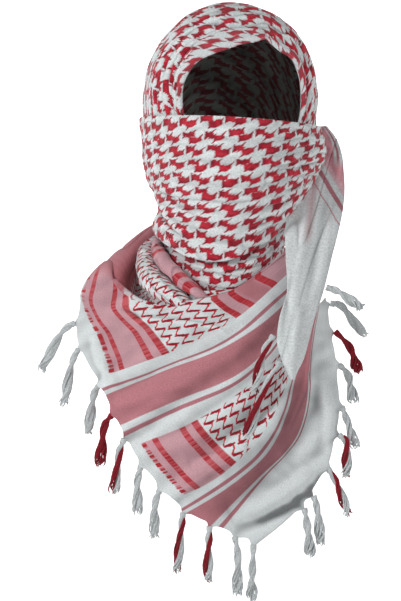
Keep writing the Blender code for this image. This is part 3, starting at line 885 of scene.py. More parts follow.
def border_place(t, v):
    """Where a point of the drape lies on the border's own even layout."""
    row = BORDER_LINES.at(t)
    lines = [0 * v, *(row[name] for name in BORDER_LINES.columns[1:]), 0 * v + 1]
    course = 0 * v
    for k in range(len(lines) - 1):
        share = np.clip((v - lines[k]) / (lines[k + 1] - lines[k]), 0, 1)
        course += (BORDER_PLACES[k + 1] - BORDER_PLACES[k]) * share
    bowed = t - UPPER_BOW * np.sin(math.pi * np.clip((v - 0.02) / 0.30, 0, 1))
    bowed += UPPER_TURN * smooth_step(0.13, 0.0, v) * smooth_step(125, 70, t)
    upper = np.interp(bowed, UPPER_BARS, EVEN_BARS)
    return upper + (t - upper) * smooth_step(0.36, 0.50, v), course + np.minimum(v, 0)


def net_run(t, course):
    """Millimetres of cloth across the courses, from a line inside each block."""
    upper = (course - 0.32) * np.interp(t, (20, 150), (240, 130))
    lower = (course - 0.63) * np.interp(t, (15, 70, 110), (370, 320, 250))
    return np.where(course < 0.5, upper, lower)


def drape_material():
    cloth = Cloth("drape_cloth")
    t, v = cloth.x, cloth.y * MM
    _, s = cloth.place("run")
    in_block_a = v.below(0.320, 0.003)
    in_block_b = v.between(0.545, 0.715, 0.003)
    block = in_block_a.top(in_block_b)
    pale = t.between(13, 72, 0.8).top(t.above(140, 0.8) * in_block_a)
    cloth.lay(block * pale, PALE_PINK)
    cloth.lay(in_block_a * t.between(160, 180, 6.0), BAND_PINK)
    for low, high in ((12, 17), (24, 30), (53, 59), (66, 73)):
        lay_stripe(cloth, t, s, low, high, dashed=low < 20, share=block)
    for low, high in ((138, 144), (153, 159), (180, 187)):
        lay_stripe(cloth, t, s, low, high, share=in_block_a, broken=0.1)
    net = t.between(75, 137, 1.0) * in_block_a
    lay_net(cloth, t - 4, s, net.top(t.above(75, 1.0) * in_block_b))
    for low, high in ((0.375, 0.500), (0.750, 0.875)):
        share = (v - low) * (1 / (high - low))
        cloth.lay(share.between(0.0, 0.085, 0.02), LINE_PINK)
        cloth.lay(share.between(0.20, 0.80, 0.02), BAND_PINK)
        cloth.lay(share.between(0.915, 1.0, 0.02), LINE_PINK)
    cloth.lay(v.below(-0.06, 0.03), BAND_PINK)
    return cloth.finish()


POCKET = 0.655  # where across the shoulder fold the plain crest ends and the pocket of net begins
POCKET_WIDTH = 190  # the fold's width in millimetres of net


def shoulder_material():
    """The border turned over the shoulder: plain pink on the crest with a paler painted highlight down its
    lit front, red bars and shaded net in the pocket.
    """
    cloth = Cloth("shoulder_cloth")
    cloth.colour = BAND_PINK
    u, s = cloth.x * MM, cloth.y
    pocket = u.above(POCKET, 0.004)
    # Painted highlight: a paler band down the fold's front, from the crest, where the light falls.
    cloth.lay(u.between(0.30, 0.50, 0.12) * 0.7, PALE_PINK)
    cloth.lay(pocket, WHITE)
    lay_net(cloth, u * POCKET_WIDTH, s, pocket)
    for low, high in ((0.52, 0.56), (0.60, 0.645)):
        lay_stripe(cloth, u, s, low, high)
    return cloth.finish()


def net_material():
    cloth = Cloth("net_cloth")
    lay_net(cloth, cloth.x, cloth.y)
    return cloth.finish()


def pink_material():
    cloth = Cloth("collar_cloth")
    cloth.colour = PALE_PINK
    for low, high in ((36, 43), (52, 58), (104, 112), (118, 127)):
        lay_stripe(cloth, cloth.y, cloth.x, low, high)
    return cloth.finish()


def nape_material():
    """The border's lines along the hem, the plain band above them."""
    cloth = Cloth("nape_cloth")
    cloth.colour = BAND_PINK
    hem = cloth.y
    for low, high, colour in ((-1, 9, WHITE), (9, 13, LINE_PINK), (13, 20, WHITE), (60, 64, WHITE)):
        cloth.lay(hem.between(low, high, 0.6), colour)
    return cloth.finish()


TAIL_SLANT = 1.75  # how far the lines across the hanging end drop for each millimetre to the right


def tail_material():
    """The hanging end: border pink at the top right, painted lighter than the same yarns elsewhere as painted
    light, crossed by slanting lines, then plain, with a band of painted shade down its hollow.
    """
    cloth = Cloth("tail_cloth")
    x, y = cloth.x, cloth.y
    m = (x - 95) * -TAIL_SLANT - y + 4
    m = m + (soft_noise(cloth.tree, x, y, 0.05, 1.0) - 0.5) * 5
    cloth.lay(m.below(160, 3.0) * x.above(80, 8.0), TAIL_PALE_PAINTED_LIGHT)
    cloth.lay(m.below(150, 6.0) * x.above(98, 8.0), TAIL_PINK_PAINTED_LIGHT)
    cloth.lay(m.between(171, 180, 1.5), LINE_PINK)
    cloth.lay(m.between(196, 199, 1.0), PALE_PINK)
    # A soft band of painted shade down the hollow of the hanging end.
    hollow = x - 84 - (y + 190) * 0.13
    cloth.lay(hollow.size().below(3, 6.0) * y.between(-236, -166, 16.0) * 0.7, TAIL_PAINTED_SHADE)
    across, _ = cloth.place("run")
    top = y.above(-158, 10.0)
    cloth.lay(across.between(700, 1001, 20.0) * top, WHITE)
    cloth.lay(across.between(800, 880, 20.0) * top, LINE_PINK)
    return cloth.finish()


def yarn_material(name, colour, dark):
    cloth = Cloth(name)
    noise = soft_noise(cloth.tree, cloth.x, cloth.y, 0.9, 2.0)
    cloth.colour = blend_colour(cloth.tree, noise, colour, dark)
    return cloth.finish(weave=0.6, with_painted_shade=False)


# ---------------------------------------------------------------- pieces


# How far the cloth hangs off the plain opening round the face, sideways and up, at each place round it.
# Millimetres.
WINDOW = Table("place aside up", (
    (-0.37, 0, 0),
    (-0.30, 1, 0),
    (-0.25, 0, 0),
    (-0.20, 2, 0),
    (-0.15, 6, -1),
    (-0.10, 8.5, -4.5),
    (-0.05, 11, -4.5),
    (0.00, 6, -2.5),
    (0.05, -2, 2),
    (0.10, -4.5, -1),
    (0.15, -2, 0),
    (0.20, -2.5, 0),
    (0.25, -2.5, 0),
    (0.37, 0, 0),
), unit=1)
WINDOW_DEPTH = 0.16  # how far back over the hood that is felt


def worn_hood(u, v):
    """The hood with its front edge drawn over the brow."""
    row = WINDOW.at(u)
    share = np.clip(1 - v / WINDOW_DEPTH, 0, 1) ** 1.5
    return hood_point(u, v) + stack(row["aside"] * share, 0 * v, row["up"] * share) * MM


def above_hood(u, v, lift):
    step = 0.01
    inside = np.maximum(v, 0)
    around = worn_hood(u + step, inside) - worn_hood(u - step, inside)
    back = worn_hood(u, inside + step) - worn_hood(u, inside)
    place = worn_hood(u, inside) + back * (np.minimum(v, 0) / step)[..., None]
    return place + unit(np.cross(around, back)) * np.asarray(lift)[..., None]


# Creases of the hood, as places round it (from the middle of the brow) and back from its edge. Millimetres.
HOOD_FOLDS = (
    ([(-150, 7), (-110, 9), (-60, 12), (-20, 14)], 1.8, 2.6, "step"),
    ([(-160, 14), (-120, 17), (-70, 21), (-30, 20)], 1.6, 2.4, "step"),
    ([(-165, 22), (-130, 25), (-90, 30)], 1.8, 3.0, "step"),
    ([(-150, 33), (-110, 36), (-60, 40), (0, 38)], 1.5, 3.4, "step"),
    ([(-165, 43), (-120, 47), (-80, 52)], 1.6, 3.6, "step"),
    ([(-140, 58), (-90, 62), (-40, 66), (10, 60)], 1.4, 4.0, "step"),
    ([(0, 9), (20, 16), (55, 24), (100, 26)], -1.4, 2.0, "sharp"),
    ([(20, 8), (45, 20), (80, 34), (130, 40)], 1.8, 3.6, "step"),
    ([(60, 6), (90, 16), (140, 22)], 1.6, 2.6, "step"),
    ([(80, 10), (120, 14), (165, 12)], -1.2, 1.8, "sharp"),
    ([(30, 50), (80, 60), (140, 64)], 1.6, 4.0, "step"),
    ([(-120, 80), (-40, 92), (40, 88), (110, 76)], 2.0, 7.0, "ridge"),
    ([(-150, 110), (-60, 126), (30, 130), (130, 112)], 2.4, 8.0, "ridge"),
    ([(-120, 160), (-30, 175), (60, 172), (130, 158)], 2.2, 8.0, "ridge"),
    ([(-100, 205), (0, 214), (90, 206)], 2.4, 9.0, "ridge"),
    ([(-90, 250), (10, 262), (100, 248)], 2.2, 8.0, "ridge"),
)


def hood_lift(around, back):
    a, b = around / MM, back / MM
    lift = fold_height(HOOD_FOLDS, a, b)
    lift += 0.0008 * value_noise(a / 26 + 0.3 * value_noise(a / 30, b / 12, 4), b / 4.2, 3)
    lift += 0.0005 * value_noise(a / 15, b / 2.4, 5)
    lift -= 0.0016 * valleys(a / 55 + 0.4 * value_noise(a / 60, b / 30, 6), b / 9, 7)
    lift -= 0.0010 * valleys(a / 35, b / 5, 8) * smooth_step(90, 40, b)
    return lift


def gathered(points, v):
    """Pattern distance back from the face, where the cloth round the face is drawn out across its rows."""
    steps = np.diff(points, axis=0)
    seen = np.hypot(steps[..., 0], steps[..., 2])
    full = np.linalg.norm(steps, axis=-1)
    share = 0.5 + 0.6 * smooth_step(0.25, 0.55, v[1:])
    return 1.25 * np.pad(np.cumsum(np.maximum(seen, share * full), axis=0), [(1, 0), (0, 0)])


def make_hood(materials):
    u, v = grid(270, 165)
    smooth = worn_hood(HOOD_EDGE * (2 * u - 1), v**1.25)
    around = arc_lengths(smooth, 1)
    around -= around[:, around.shape[1] // 2][:, None]
    back = arc_lengths(smooth, 0)
    lift = hood_lift(around, back)
    points = displaced(smooth, lift)
    place = np.stack([around, -gathered(smooth, v)], -1)
    obj = cloth_piece("hood_cloth", points, place, materials, inner_slot=1, shade=painted_hollow_shade(lift))
    wear(obj, "hood", "houndstooth", smooth)


# The rolled front edge: places across the roll, how far back over the hood each lies (the last is the
# roll's own depth) and how far off it.
ROLL_PLACES = (0, 0.12, 0.30, 0.45, 1)
ROLL_BACK = (0.030, 0.004, -0.006, 0.012)
ROLL_LIFT = (-0.0022, -0.0018, 0.0012, 0.0040, 0.0016)
ROLLS = (("brow_fold", -0.285, 0.045, 0.06), ("temple_fold", 0.058, 0.320, 0.035))  # name, first, last, depth


def make_hood_folds(material):
    """The rolled front edge of the hood: a soft roll at the face that thins out backwards."""
    for name, first, last, depth in ROLLS:
        u, w = grid(140, 28)
        reach = np.interp(w, ROLL_PLACES, (*ROLL_BACK, depth))
        lift = np.interp(w, ROLL_PLACES, ROLL_LIFT)
        taper = np.sin(math.pi * np.clip(u, 0.015, 0.985)) ** 0.35
        smooth = above_hood(first + (last - first) * u, reach * (0.35 + 0.65 * taper), lift * taper)
        around, back = arc_lengths(smooth, 1), arc_lengths(smooth, 0)
        points = displaced(smooth, 0.0005 * value_noise(around / 0.014, back / 0.005, 9))
        obj = cloth_piece(name + "_cloth", points, np.stack([around, -1.15 * back], -1), [material])
        wear(obj, name, "houndstooth", smooth)


# Creases of the wrap seen from the front, as places across and up. Millimetres.
FACE_FOLDS = (
    ([(-14, -206), (-34, -203), (-49, -197), (-66, -187), (-79, -176)], 2.0, 8, "step"),
    ([(-76, -186), (-72, -204), (-63, -222), (-42, -238)], -1.8, 2.0, "sharp"),
    ([(-73, -190), (-66, -208), (-56, -222), (-40, -233)], 1.6, 3.0, "ridge"),
    ([(-70, -180), (-60, -192), (-38, -200)], -1.2, 1.6, "sharp"),
    ([(62, -218), (40, -240), (14, -247)], -1.6, 1.8, "sharp"),
    ([(68, -203), (52, -214), (32, -226), (10, -235)], 1.8, 3.0, "step"),
    ([(70, -196), (56, -207), (40, -217), (18, -224)], 1.6, 3.0, "step"),
    ([(74, -180), (66, -197), (46, -210), (20, -216)], 1.8, 3.2, "step"),
    ([(78, -172), (70, -188), (52, -198), (30, -203)], 1.4, 3.0, "step"),
    ([(99, -138), (80, -140), (58, -146), (36, -150)], 1.4, 3.2, "step"),
    ([(98, -146), (78, -152), (56, -160), (30, -164)], 1.7, 3.4, "step"),
    ([(92, -166), (80, -168), (60, -172), (34, -180)], 1.8, 3.6, "step"),
    ([(96, -154), (84, -160), (66, -166)], -1.4, 1.6, "sharp"),
    ([(88, -172), (76, -182), (58, -188)], -1.3, 1.6, "sharp"),
    ([(-84, -124), (-80, -140), (-82, -160)], 1.2, 2.4, "ridge"),
    ([(-76, -126), (-74, -146), (-76, -170)], 1.0, 3.0, "ridge"),
    ([(30, -126), (-20, -134), (-70, -130)], 1.0, 9.0, "ridge"),
    ([(50, -160), (0, -172), (-50, -166)], 1.0, 10.0, "ridge"),
)
WRAP_SAG = 19  # how far the check's rows sag between the sides of the wrap, low down on it


def sagged(x, z, sag):
    """Height on the cloth of a point in millimetres, where the rows hang in a curve between the sides."""
    return z - sag * np.minimum(((x - 6) / 65) ** 2, 1.3)


def make_face_wrap(materials):
    u, v = grid(390, 118)
    smooth = face_wrap_point(u, v)
    side, z = band_place(FACE_EDGES, u, v)
    arc = arc_lengths(smooth, 1)
    front = np.argmin(np.abs(side[0]))
    a = (arc - arc[:, front : front + 1]) / MM
    x, z = smooth[..., 0] / MM, z / MM
    height = fold_height(FACE_FOLDS, x, z) * smooth_step(110, 85, np.abs(side))
    hung = sagged(x, z, WRAP_SAG * smooth_step(-122, -230, z))
    height += 0.0008 * value_noise(a / 24, hung / 8, 11) + 0.0004 * value_noise(a / 9, hung / 4, 12)
    height -= 0.0014 * valleys(a / 60, hung / 13, 13) * (0.35 + 0.65 * smooth_step(-140, -200, z))
    height -= 0.0009 * valleys(a / 30, hung / 6, 14) * smooth_step(10, 60, np.abs(x))
    points = displaced(smooth, height)
    place = np.stack([a, hung], -1) * MM
    obj = cloth_piece("face_wrap_cloth", points, place, materials, shade=painted_hollow_shade(height))
    wear(obj, "face_wrap", "houndstooth", smooth)


NECK_FOLDS = (
    ([(56, -238), (40, -252), (18, -262), (-10, -268), (-40, -262)], 1.6, 3.0, "step"),
    ([(-62, -246), (-50, -262), (-34, -274), (-16, -280)], 1.6, 3.0, "ridge"),
    ([(58, -248), (44, -262), (26, -270)], -1.4, 1.6, "sharp"),
)


# Where the collar lies close against the neck's cloth; the neck is painted darker along it as painted shadow.
NECK_PAINTED_SHADOW_LINE = [(-68, -232), (-64, -250), (-54, -270), (-38, -286), (-12, -293), (14, -290)]


def make_neck(material):
    u, v = (part[:, :-1] for part in grid(300, 40))
    smooth = band_point(NECK_RINGS, NECK_EDGES, u, v)
    side, z = band_place(NECK_EDGES, u, v)
    a, x, z = np.radians(side) * 70, smooth[..., 0] / MM, z / MM
    height = fold_height(NECK_FOLDS, x, z) * smooth_step(110, 85, np.abs(side))
    height -= 0.0014 * valleys(a / 40, sagged(x, z, 24) / 9, 22)
    points = displaced(smooth, height + 0.0006 * value_noise(a / 20, z / 7, 21), True)
    # Painted shadow: the neck darker just under the wrap's hem, on top of the painted shade of its creases.
    shade = painted_hollow_shade(height) * (0.45 + 0.55 * smooth_step(-2, 9, FACE_EDGES.at(side)["bottom"] / MM - z))
    # Painted shadow along the line where the collar lies close.
    away, _, _ = distance_to(NECK_PAINTED_SHADOW_LINE, x, smooth[..., 2] / MM)
    shade *= 1 - 0.60 * np.exp(-((away / 6) ** 2)) * smooth_step(110, 85, np.abs(side))
    place = np.stack([1.15 * a, 1.2 * sagged(x, z, 26) + 5], -1) * MM
    obj = cloth_piece("neck_wrap_cloth", points, place, [material], ring=True, shade=shade)
    wear(obj, "neck_wrap", "houndstooth", smooth, ring=True)
    u, v = grid(60, 20)
    points = band_point(NECK_RINGS, LOOP_EDGES, u, v, -LOOP_INSET)
    side, z = band_place(LOOP_EDGES, u, v)
    obj = cloth_piece("neck_loop_cloth", points, np.stack([np.radians(side) * 0.07, z], -1), [material])
    wear(obj, "neck_loop", "houndstooth", points)


def make_nape(material):
    u, v = grid(140, 36)
    points = band_point(NAPE_RINGS, NAPE_EDGES, u, v)
    around, hem = arc_lengths(points, 1), points[..., 2] - points[..., 2].min(axis=0)
    a, b = around / MM, hem / MM
    bend = 0.0034 * value_noise(a / 26, b / 90, 61) * smooth_step(75, 20, b)
    bend -= 0.0016 * valleys(a / 40, b / 30, 62)
    place = np.stack([around, hem], -1)
    obj = cloth_piece("nape_cloth", displaced(points, bend), place, [material], shade=painted_hollow_shade(bend))
    wear(obj, "nape_shawl", "border", points)


def make_collar(net, pink):
    u, v = grid(140, 24)
    points = band_point(BED_RINGS, BED_EDGES, u, v)
    around, up = arc_lengths(points, 1), arc_lengths(points, 0)
    obj = cloth_piece("collar_bed_cloth", points, np.stack([around, up], -1), [net])
    wear(obj, "collar_bed", "border", points)
    for name, path, slot, material in (
        ("collar_net", COLLAR_NET, "net_weave", net),
        ("collar_pink", COLLAR_PINK, "border", pink),
    ):
        u, v = grid(48, 110)
        points = roll_point(path, u, 1.2 * v)
        around, along = arc_lengths(points, 1), arc_lengths(points, 0)
        a, b = around / MM, along / MM
        bend = 0.0011 * value_noise(a / 14, b / 16, 51) - 0.0016 * valleys(a / 9 + b / 26, b / 40, 52)
        place = np.stack([around, along], -1)
        obj = cloth_piece(name + "_cloth", displaced(points, bend), place, [material], shade=painted_hollow_shade(bend))
        wear(obj, name, slot, points)


def make_shoulder(material):
    u, v = grid(90, 80)
    points = shoulder_point(u, SHOULDER.keys[-1] * v)
    along = arc_lengths(points, 0)
    a, b = arc_lengths(points, 1) / MM, along / MM
    bend = 0.0016 * value_noise(a / 24, b / 60, 55) - 0.0016 * valleys(a / 30 + b / 90, b / 120, 56)
    place = np.stack([u, along], -1)
    obj = cloth_piece("shoulder_cloth", displaced(points, bend), place, [material], shade=painted_hollow_shade(bend))
    wear(obj, "shoulder_fold", "border", points)


# Creases of the drape seen from the front, as places across and up. Millimetres.
DRAPE_FOLDS = (
    ([(-96, -315), (-72, -315), (-42, -318), (-12, -322), (-6, -328)], 1.6, 4.0, "step"),
    ([(-110, -304), (-96, -309), (-84, -318)], -1.6, 2.2, "sharp"),
    ([(52, -296), (0, -345), (-60, -378), (-118, -398)], 4.5, 11, "ridge"),
    ([(60, -326), (20, -392), (-40, -430), (-84, -446)], 4.2, 10, "ridge"),
    ([(66, -350), (38, -420), (0, -448), (-40, -462)], 5.5, 12, "ridge"),
    ([(-2, -446), (-14, -447), (-30, -450)], -1.4, 3.0, "sharp"),
    ([(98, -330), (88, -400), (56, -452), (16, -482), (-20, -500)], -4.5, 11, "ridge"),
    ([(-1, -508), (19, -500), (43, -490), (63, -480), (82, -462)], 5.0, 13, "ridge"),
    ([(2, -522), (34, -512), (60, -500), (88, -478)], -4.0, 7, "ridge"),
    ([(94, -372), (100, -410), (96, -450)], 2.4, 6, "ridge"),
    ([(-138, -330), (-128, -360), (-116, -384)], 2.6, 6, "ridge"),
    ([(84, -330), (76, -380), (60, -420)], 1.8, 4, "step"),
)
# The middle of the painted shade along the trough of the lower band.
BAND_PAINTED_SHADE_LINE = [(66, -392), (52, -434), (20, -476), (-8, -500)]
# Where the drape's top edge goes on over the shoulder fold, at each place along it: how far over and how
# far up.
OVER_SHOULDER = Table("place across along", (
    (0.0, 0.22, 0.30),
    (0.1, 0.30, 0.38),
    (0.2, 0.40, 0.34),
    (0.3, 0.50, 0.20),
    (0.4, 0.58, 0.06),
    (1.0, 0.58, 0.06),
), unit=1)


SHOULDER_OUT = np.array([-0.55, -0.60, 0.58])  # off the shoulder fold, where the drape crosses it
TURNED_UNDER = np.array([0, 0.004, -0.003])  # how the strip ends where it isn't drawn over the shoulder


def over_shoulder(u, w):
    """The strip above the drape's top edge: over the shoulder at the left, turned under elsewhere."""
    edge, row = drape_point(u, 0 * u), OVER_SHOULDER.at(u)
    rise = (1 - smooth_step(0.28, 0.46, u))[..., None]
    w = w[..., None]
    rest = shoulder_point(row["across"], row["along"])
    rest = rest + SHOULDER_OUT * (0.0035 - 0.006 * smooth_step(0.8, 1, w))
    reach = (rest - edge) * rise + TURNED_UNDER * (1 - rise)
    return edge + reach * w + SHOULDER_OUT * (0.005 * rise * np.sin(math.pi * w))


PULL, SLACK = 0.0046, 0.0014  # how far a tassel draws the hem out, and how far it falls back between two
PULL_WIDTH, PULL_DEPTH = 0.014, 0.07  # how far along the hem and how far in from it that is felt


def hem_pull(edge, place, inward):
    """How far the hem is drawn outwards at a place along it."""
    pull = -SLACK + 0 * place
    for where, middle, *_ in TASSELS:
        if where == edge:
            pull = pull + PULL * np.exp(-(((place - middle) / PULL_WIDTH) ** 2))
    return pull * np.clip(1 - inward / PULL_DEPTH, 0, 1) ** 2


def make_drape(material):
    u, v = grid(205, 205)
    rows = 20
    w = np.linspace(1, 0, rows, endpoint=False)[:, None] + 0 * u[:rows]
    smooth = np.concatenate([over_shoulder(u[:rows], w), drape_point(u, v)])
    u, v = np.concatenate([u[:rows], u]), np.concatenate([-0.1 * w, v])
    t = arc_lengths(smooth, 1)
    x, z = smooth[..., 0] / MM, smooth[..., 2] / MM
    height = fold_height(DRAPE_FOLDS, x, z)
    height += 0.0007 * value_noise(x / 30, z / 22, 31) + 0.0004 * value_noise(x / 11, z / 9, 32)
    height += 0.0030 * value_noise((x + z) / 2 / 90, (z - 0.75 * x) / 17, 33)
    normals = grid_normals(smooth, False)
    points = smooth - normals * height[..., None] * np.sign(normals[..., 1:2])
    out = unit(smooth[:, 0] - smooth[:, 8])[:, None]
    points = points + out * hem_pull("fringe", v, u)[..., None]
    out = unit(smooth[-1] - smooth[-9])[None]
    points = points + out * hem_pull("side", u, 1 - v)[..., None]
    away, _, _ = distance_to(BAND_PAINTED_SHADE_LINE, x, z)
    # Painted shade of the creases, and a painted shadow along the lower band's trough.
    shade = painted_hollow_shade(height) * (1 - 0.40 * np.exp(-((away / 13) ** 2)))
    along, course = border_place(t / MM, v)
    run = np.stack([t, net_run(t / MM, course) * MM], -1)
    place = np.stack([along * MM, course], -1)
    obj = cloth_piece("drape_cloth", points, place, [material], run=run, shade=shade)
    wear(obj, "chest_drape", "border", smooth)


# Creases of the hanging end seen from the front, as places across and up. Millimetres.
TAIL_FOLDS = (
    ([(94, -130), (110, -150), (114, -186)], 2.0, 4.0, "ridge"),
    ([(84, -180), (78, -210), (72, -240), (66, -270)], 2.4, 5.0, "ridge"),
    ([(100, -190), (92, -225), (84, -262), (74, -300)], -2.6, 5.0, "ridge"),
    ([(108, -205), (100, -240), (90, -280), (76, -326)], 2.2, 5.0, "ridge"),
    ([(62, -270), (56, -300), (52, -330)], -1.8, 3.0, "ridge"),
    ([(70, -300), (64, -330), (62, -352)], 2.0, 4.0, "ridge"),
)


def make_tail(material):
    u, v = grid(70, 200)
    smooth = tail_point(u, v)
    x, z = smooth[..., 0] / MM, smooth[..., 2] / MM
    height = fold_height(TAIL_FOLDS, x, z) + 0.0006 * value_noise(x / 9, z / 30, 41)
    height -= 0.0018 * valleys((x - 0.3 * z) / 11, z / 90, 42)
    points = smooth - stack(0, height, 0)
    run = np.stack([u, v], -1)
    obj = cloth_piece("tail_cloth", points, smooth[..., [0, 2]], [material], run=run, shade=painted_hollow_shade(height))
    wear(obj, "side_tail", "border", smooth)


# ---------------------------------------------------------------- tassels


INWARD = {"fringe": 0.03, "side": 0.97, "tail_right": 0.9, "tail_left": 0.1}  # a little way in from each hem


def edge_point(edge, place):
    """A place on a hem, and the way straight out from the cloth there."""
    hem = 0.0 if edge in ("fringe", "tail_left") else 1.0
    found = []
    for share in (hem, INWARD[edge]):
        share, along = np.array(share), np.array(place, float)
        if edge == "side":
            found.append(drape_point(along, share))
        else:
            found.append((drape_point if edge == "fringe" else tail_point)(share, along))
    return found[0], unit(found[0] - found[1])


YARN_SIDES = 6


def strand(points, radii):
    """Vertices and faces of a closed round yarn along points."""
    along = unit(np.gradient(points, axis=0))
    side = unit(np.cross(along, np.array([0.1, 1.0, 0.05])))
    other = np.cross(along, side)
    angle = np.linspace(0, 2 * math.pi, YARN_SIDES, endpoint=False)[None, :, None]
    ring = side[:, None] * np.cos(angle) + other[:, None] * np.sin(angle)
    verts = (points[:, None] + ring * radii[:, None, None]).reshape(-1, 3)
    index = np.arange(len(verts)).reshape(-1, YARN_SIDES)
    ahead = np.roll(index, -1, axis=1)
    quads = np.stack([index[:-1], ahead[:-1], ahead[1:], index[1:]], -1).reshape(-1, 4)
    return verts, quads.tolist() + [index[0][::-1].tolist(), index[-1].tolist()]


TASSEL_STEPS = 22
YARNS = 11  # in each of a tassel's two bundles, which twist round each other
YARN_RADIUS, YARN_TIP = 0.00072, 0.4  # and how thin its tip is beside the rest
TWIST = 8.0  # radians that the bundles turn from the knot to the tip
KNOT_TURNS, KNOT_RADIUS, KNOT_YARN = 3, 0.0023, 0.0010
KNOT_START, KNOT_PITCH = 0.0008, 0.0014  # where the first turn of the knot lies, and from turn to turn


def make_tassel(number, edge, place, mid_x, mid_z, tip_x, tip_z, thread, yarns):
    rng = np.random.default_rng(100 + number)
    point, out = edge_point(edge, place)
    start = point + out * (TAIL_KNOT_GAP if edge.startswith("tail") else KNOT_GAP)
    t = np.linspace(0, 1, TASSEL_STEPS)
    ways = np.array([(0, 0, 0), (mid_x, 0, mid_z), (tip_x, 0, tip_z)]) * MM
    middle = through([np.broadcast_to(start + way, (TASSEL_STEPS, 3)) for way in ways], t)
    along = unit(np.gradient(middle, axis=0))
    side = unit(np.cross(along, np.array([0.0, 1.0, 0.0])))
    depth = np.cross(along, side)
    verts, faces, slots = [], [], []

    def add(points, radii, slot):
        found, quads = strand(points, radii)
        base = sum(len(v) for v in verts)
        verts.append(found)
        faces.extend([[base + k for k in face] for face in quads])
        slots.extend([slot] * len(quads))

    radii = np.full(TASSEL_STEPS, YARN_RADIUS)
    radii[-1] *= YARN_TIP
    spread = 0.0012 + 0.0010 * t + 0.0010 * t**3
    own = 0.0013 + 0.0014 * t**2
    flutter = 0.0010 * t**2
    for bundle in (0, 1):
        slot = {"white": 0, "red": 1, "mixed": bundle}[thread]
        twist = bundle * math.pi + TWIST * t + 0.6 * math.sin(number)
        for k in range(YARNS):
            turn = 2 * math.pi * (k / YARNS + 0.07 * rng.random()) + 9 * t
            a = spread * np.cos(twist) + own * np.cos(turn) + flutter * np.sin(7 * t + 9 * rng.random())
            b = spread * np.sin(twist) + own * np.sin(turn) + flutter * np.cos(6 * t + 9 * rng.random())
            reach = 0.90 + 0.16 * rng.random()
            path = middle + side * a[:, None] + depth * b[:, None]
            add(path[0] + (path - path[0]) * reach, radii, slot)
    turns = np.linspace(0, 2 * math.pi, 15)[:, None]
    for k in range(KNOT_TURNS):
        centre = start + along[0] * (KNOT_START + KNOT_PITCH * k)
        ring = centre + KNOT_RADIUS * (np.cos(turns) * side[0] + np.sin(turns) * depth[0])
        add(ring, np.full(len(turns), KNOT_YARN), 1 if thread == "red" else 0)
    flat = np.concatenate(verts)
    obj = mesh_object(f"tassel_{number:02d}_yarn", flat.tolist(), faces, yarns)
    add_layer(obj.data, "cloth", flat[np.concatenate(faces)][:, [0, 2]])
    obj.data.polygons.foreach_set("material_index", np.array(slots, np.int32))
    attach(obj, "root")
    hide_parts(f"tassel_{number:02d}")
    return obj


# ---------------------------------------------------------------- studio


CAMERA_DISTANCE = 4.0
FRAMED_Y, FRAMED_HEIGHT = -0.06, 0.601  # the picture takes in this height at this depth
FRAMED_MIDDLE = (-0.0285, -0.2965)  # the middle of the picture, across and up
SENSOR = 36
DAYLIGHT = 0.22
# Name, place, size and power of the lamps, which look at one point.
LAMPS = (("key", (-1.7, -1.7, 0.7), 0.7, 29), ("fill", (1.6, -2.0, -0.2), 1.4, 12))
LAMP_AIM = np.array([0, 0, -0.25])
FLOOR_Z, FLOOR_REACH, WALL_TOP = -0.70, 9.5, 4.0  # the round floor's height, its radius and its wall's top
WALL_BEND = 1.5  # radius of the curve from the floor into the wall
FLOOR_SIDES = 96
FLOOR_GREY = 0.9
# How far behind the object the floor's glow starts and is full, and how bright it is.
GLOW_START, GLOW_FULL, GLOW = 0.2, 1.25, 0.95


def make_studio():
    scene = bpy.context.scene
    scene.view_settings.view_transform = "Standard"
    camera_data = bpy.data.cameras.new("camera")
    camera_data.sensor_fit, camera_data.sensor_height = "VERTICAL", SENSOR
    camera_data.lens = SENSOR * (CAMERA_DISTANCE + FRAMED_Y) / FRAMED_HEIGHT
    camera = bpy.data.objects.new("camera", camera_data)
    camera.location = (FRAMED_MIDDLE[0], -CAMERA_DISTANCE, FRAMED_MIDDLE[1])
    camera.rotation_euler = (math.radians(90), 0, 0)
    scene.collection.objects.link(camera)
    scene.camera = camera
    world = bpy.data.worlds.new("studio")
    world.use_nodes = True
    for slot, what in enumerate(((1, 1, 1, 1), DAYLIGHT)):
        world.node_tree.nodes["Background"].inputs[slot].default_value = what
    scene.world = world
    for name, place, size, power in LAMPS:
        light = bpy.data.lights.new(name, "AREA")
        light.size, light.energy = size, power
        lamp = bpy.data.objects.new(name, light)
        lamp.location = place
        x, y, z = LAMP_AIM - np.array(place)
        lamp.rotation_euler = (math.atan2(math.hypot(x, y), -z), 0, math.atan2(-x, y))
        scene.collection.objects.link(lamp)
    make_floor()


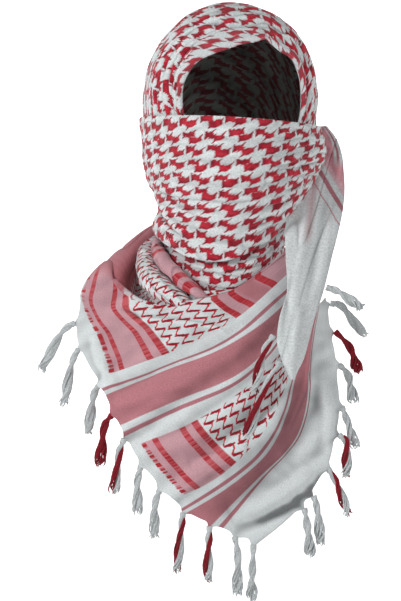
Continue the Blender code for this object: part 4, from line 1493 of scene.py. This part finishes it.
def make_floor():
    """A pale round floor that curves up into a wall, lit softly behind the object."""
    profile = [(reach, 0.0) for reach in (0.5, 1.0, 2.0, 4.0, 6.0)]
    for a in np.linspace(0, math.pi / 2, 12):
        profile.append((FLOOR_REACH - WALL_BEND * (1 - math.sin(a)), WALL_BEND * (1 - math.cos(a))))
    profile.append((FLOOR_REACH, WALL_TOP))
    around = np.linspace(0, 2 * math.pi, FLOOR_SIDES, endpoint=False)
    verts = [(0, 0, FLOOR_Z)]
    for reach, up in profile:
        verts += [(reach * math.cos(a), reach * math.sin(a), up + FLOOR_Z) for a in around]
    faces = [(0, 1 + k, 1 + (k + 1) % FLOOR_SIDES) for k in range(FLOOR_SIDES)]
    for row in range(len(profile) - 1):
        low = 1 + row * FLOOR_SIDES
        high = low + FLOOR_SIDES
        for k in range(FLOOR_SIDES):
            ahead = (k + 1) % FLOOR_SIDES
            faces.append((low + k, high + k, high + ahead, low + ahead))
    material = bpy.data.materials.new("pale_floor")
    material.use_nodes = True
    tree = material.node_tree
    principled = tree.nodes["Principled BSDF"]
    split = tree.nodes.new("ShaderNodeSeparateXYZ")
    feed(tree, split.inputs[0], tree.nodes.new("ShaderNodeTexCoord").outputs["Object"])
    behind = tree.nodes.new("ShaderNodeMapRange")
    behind.interpolation_type = "SMOOTHSTEP"
    for name, what in (
        ("Value", split.outputs["Y"]), ("From Min", GLOW_START), ("From Max", GLOW_FULL), ("To Max", GLOW),
    ):
        feed(tree, behind.inputs[name], what)
    for name, what in (
        ("Base Color", (FLOOR_GREY, FLOOR_GREY, FLOOR_GREY, 1)), ("Roughness", 0.9),
        ("Emission Color", (1, 1, 1, 1)), ("Emission Strength", behind.outputs[0]),
    ):
        feed(tree, principled.inputs[name], what)
    floor = mesh_object("floor", verts, faces, [material])


def main():
    check = check_material("check_cloth")
    # The rolled front edge's check is laid a little paler.
    paler_check = check_material("check_back", strength=0.93)
    make_hood([check, painted_shade_inner_material()])
    make_hood_folds(paler_check)
    make_face_wrap([check])
    make_neck(check)
    make_nape(nape_material())
    make_collar(net_material(), pink_material())
    make_shoulder(shoulder_material())
    yarns = [
        yarn_material("white_yarn", srgb(226, 230, 231), srgb(190, 196, 198)),
        yarn_material("red_yarn", srgb(170, 24, 42), srgb(110, 12, 30)),
    ]
    on_drape, on_tail = [], []
    for number, row in enumerate(TASSELS, start=1):
        (on_tail if row[0].startswith("tail") else on_drape).append(make_tassel(number, *row, yarns))
    make_drape(drape_material())
    make_tail(tail_material())
    make_studio()


main()
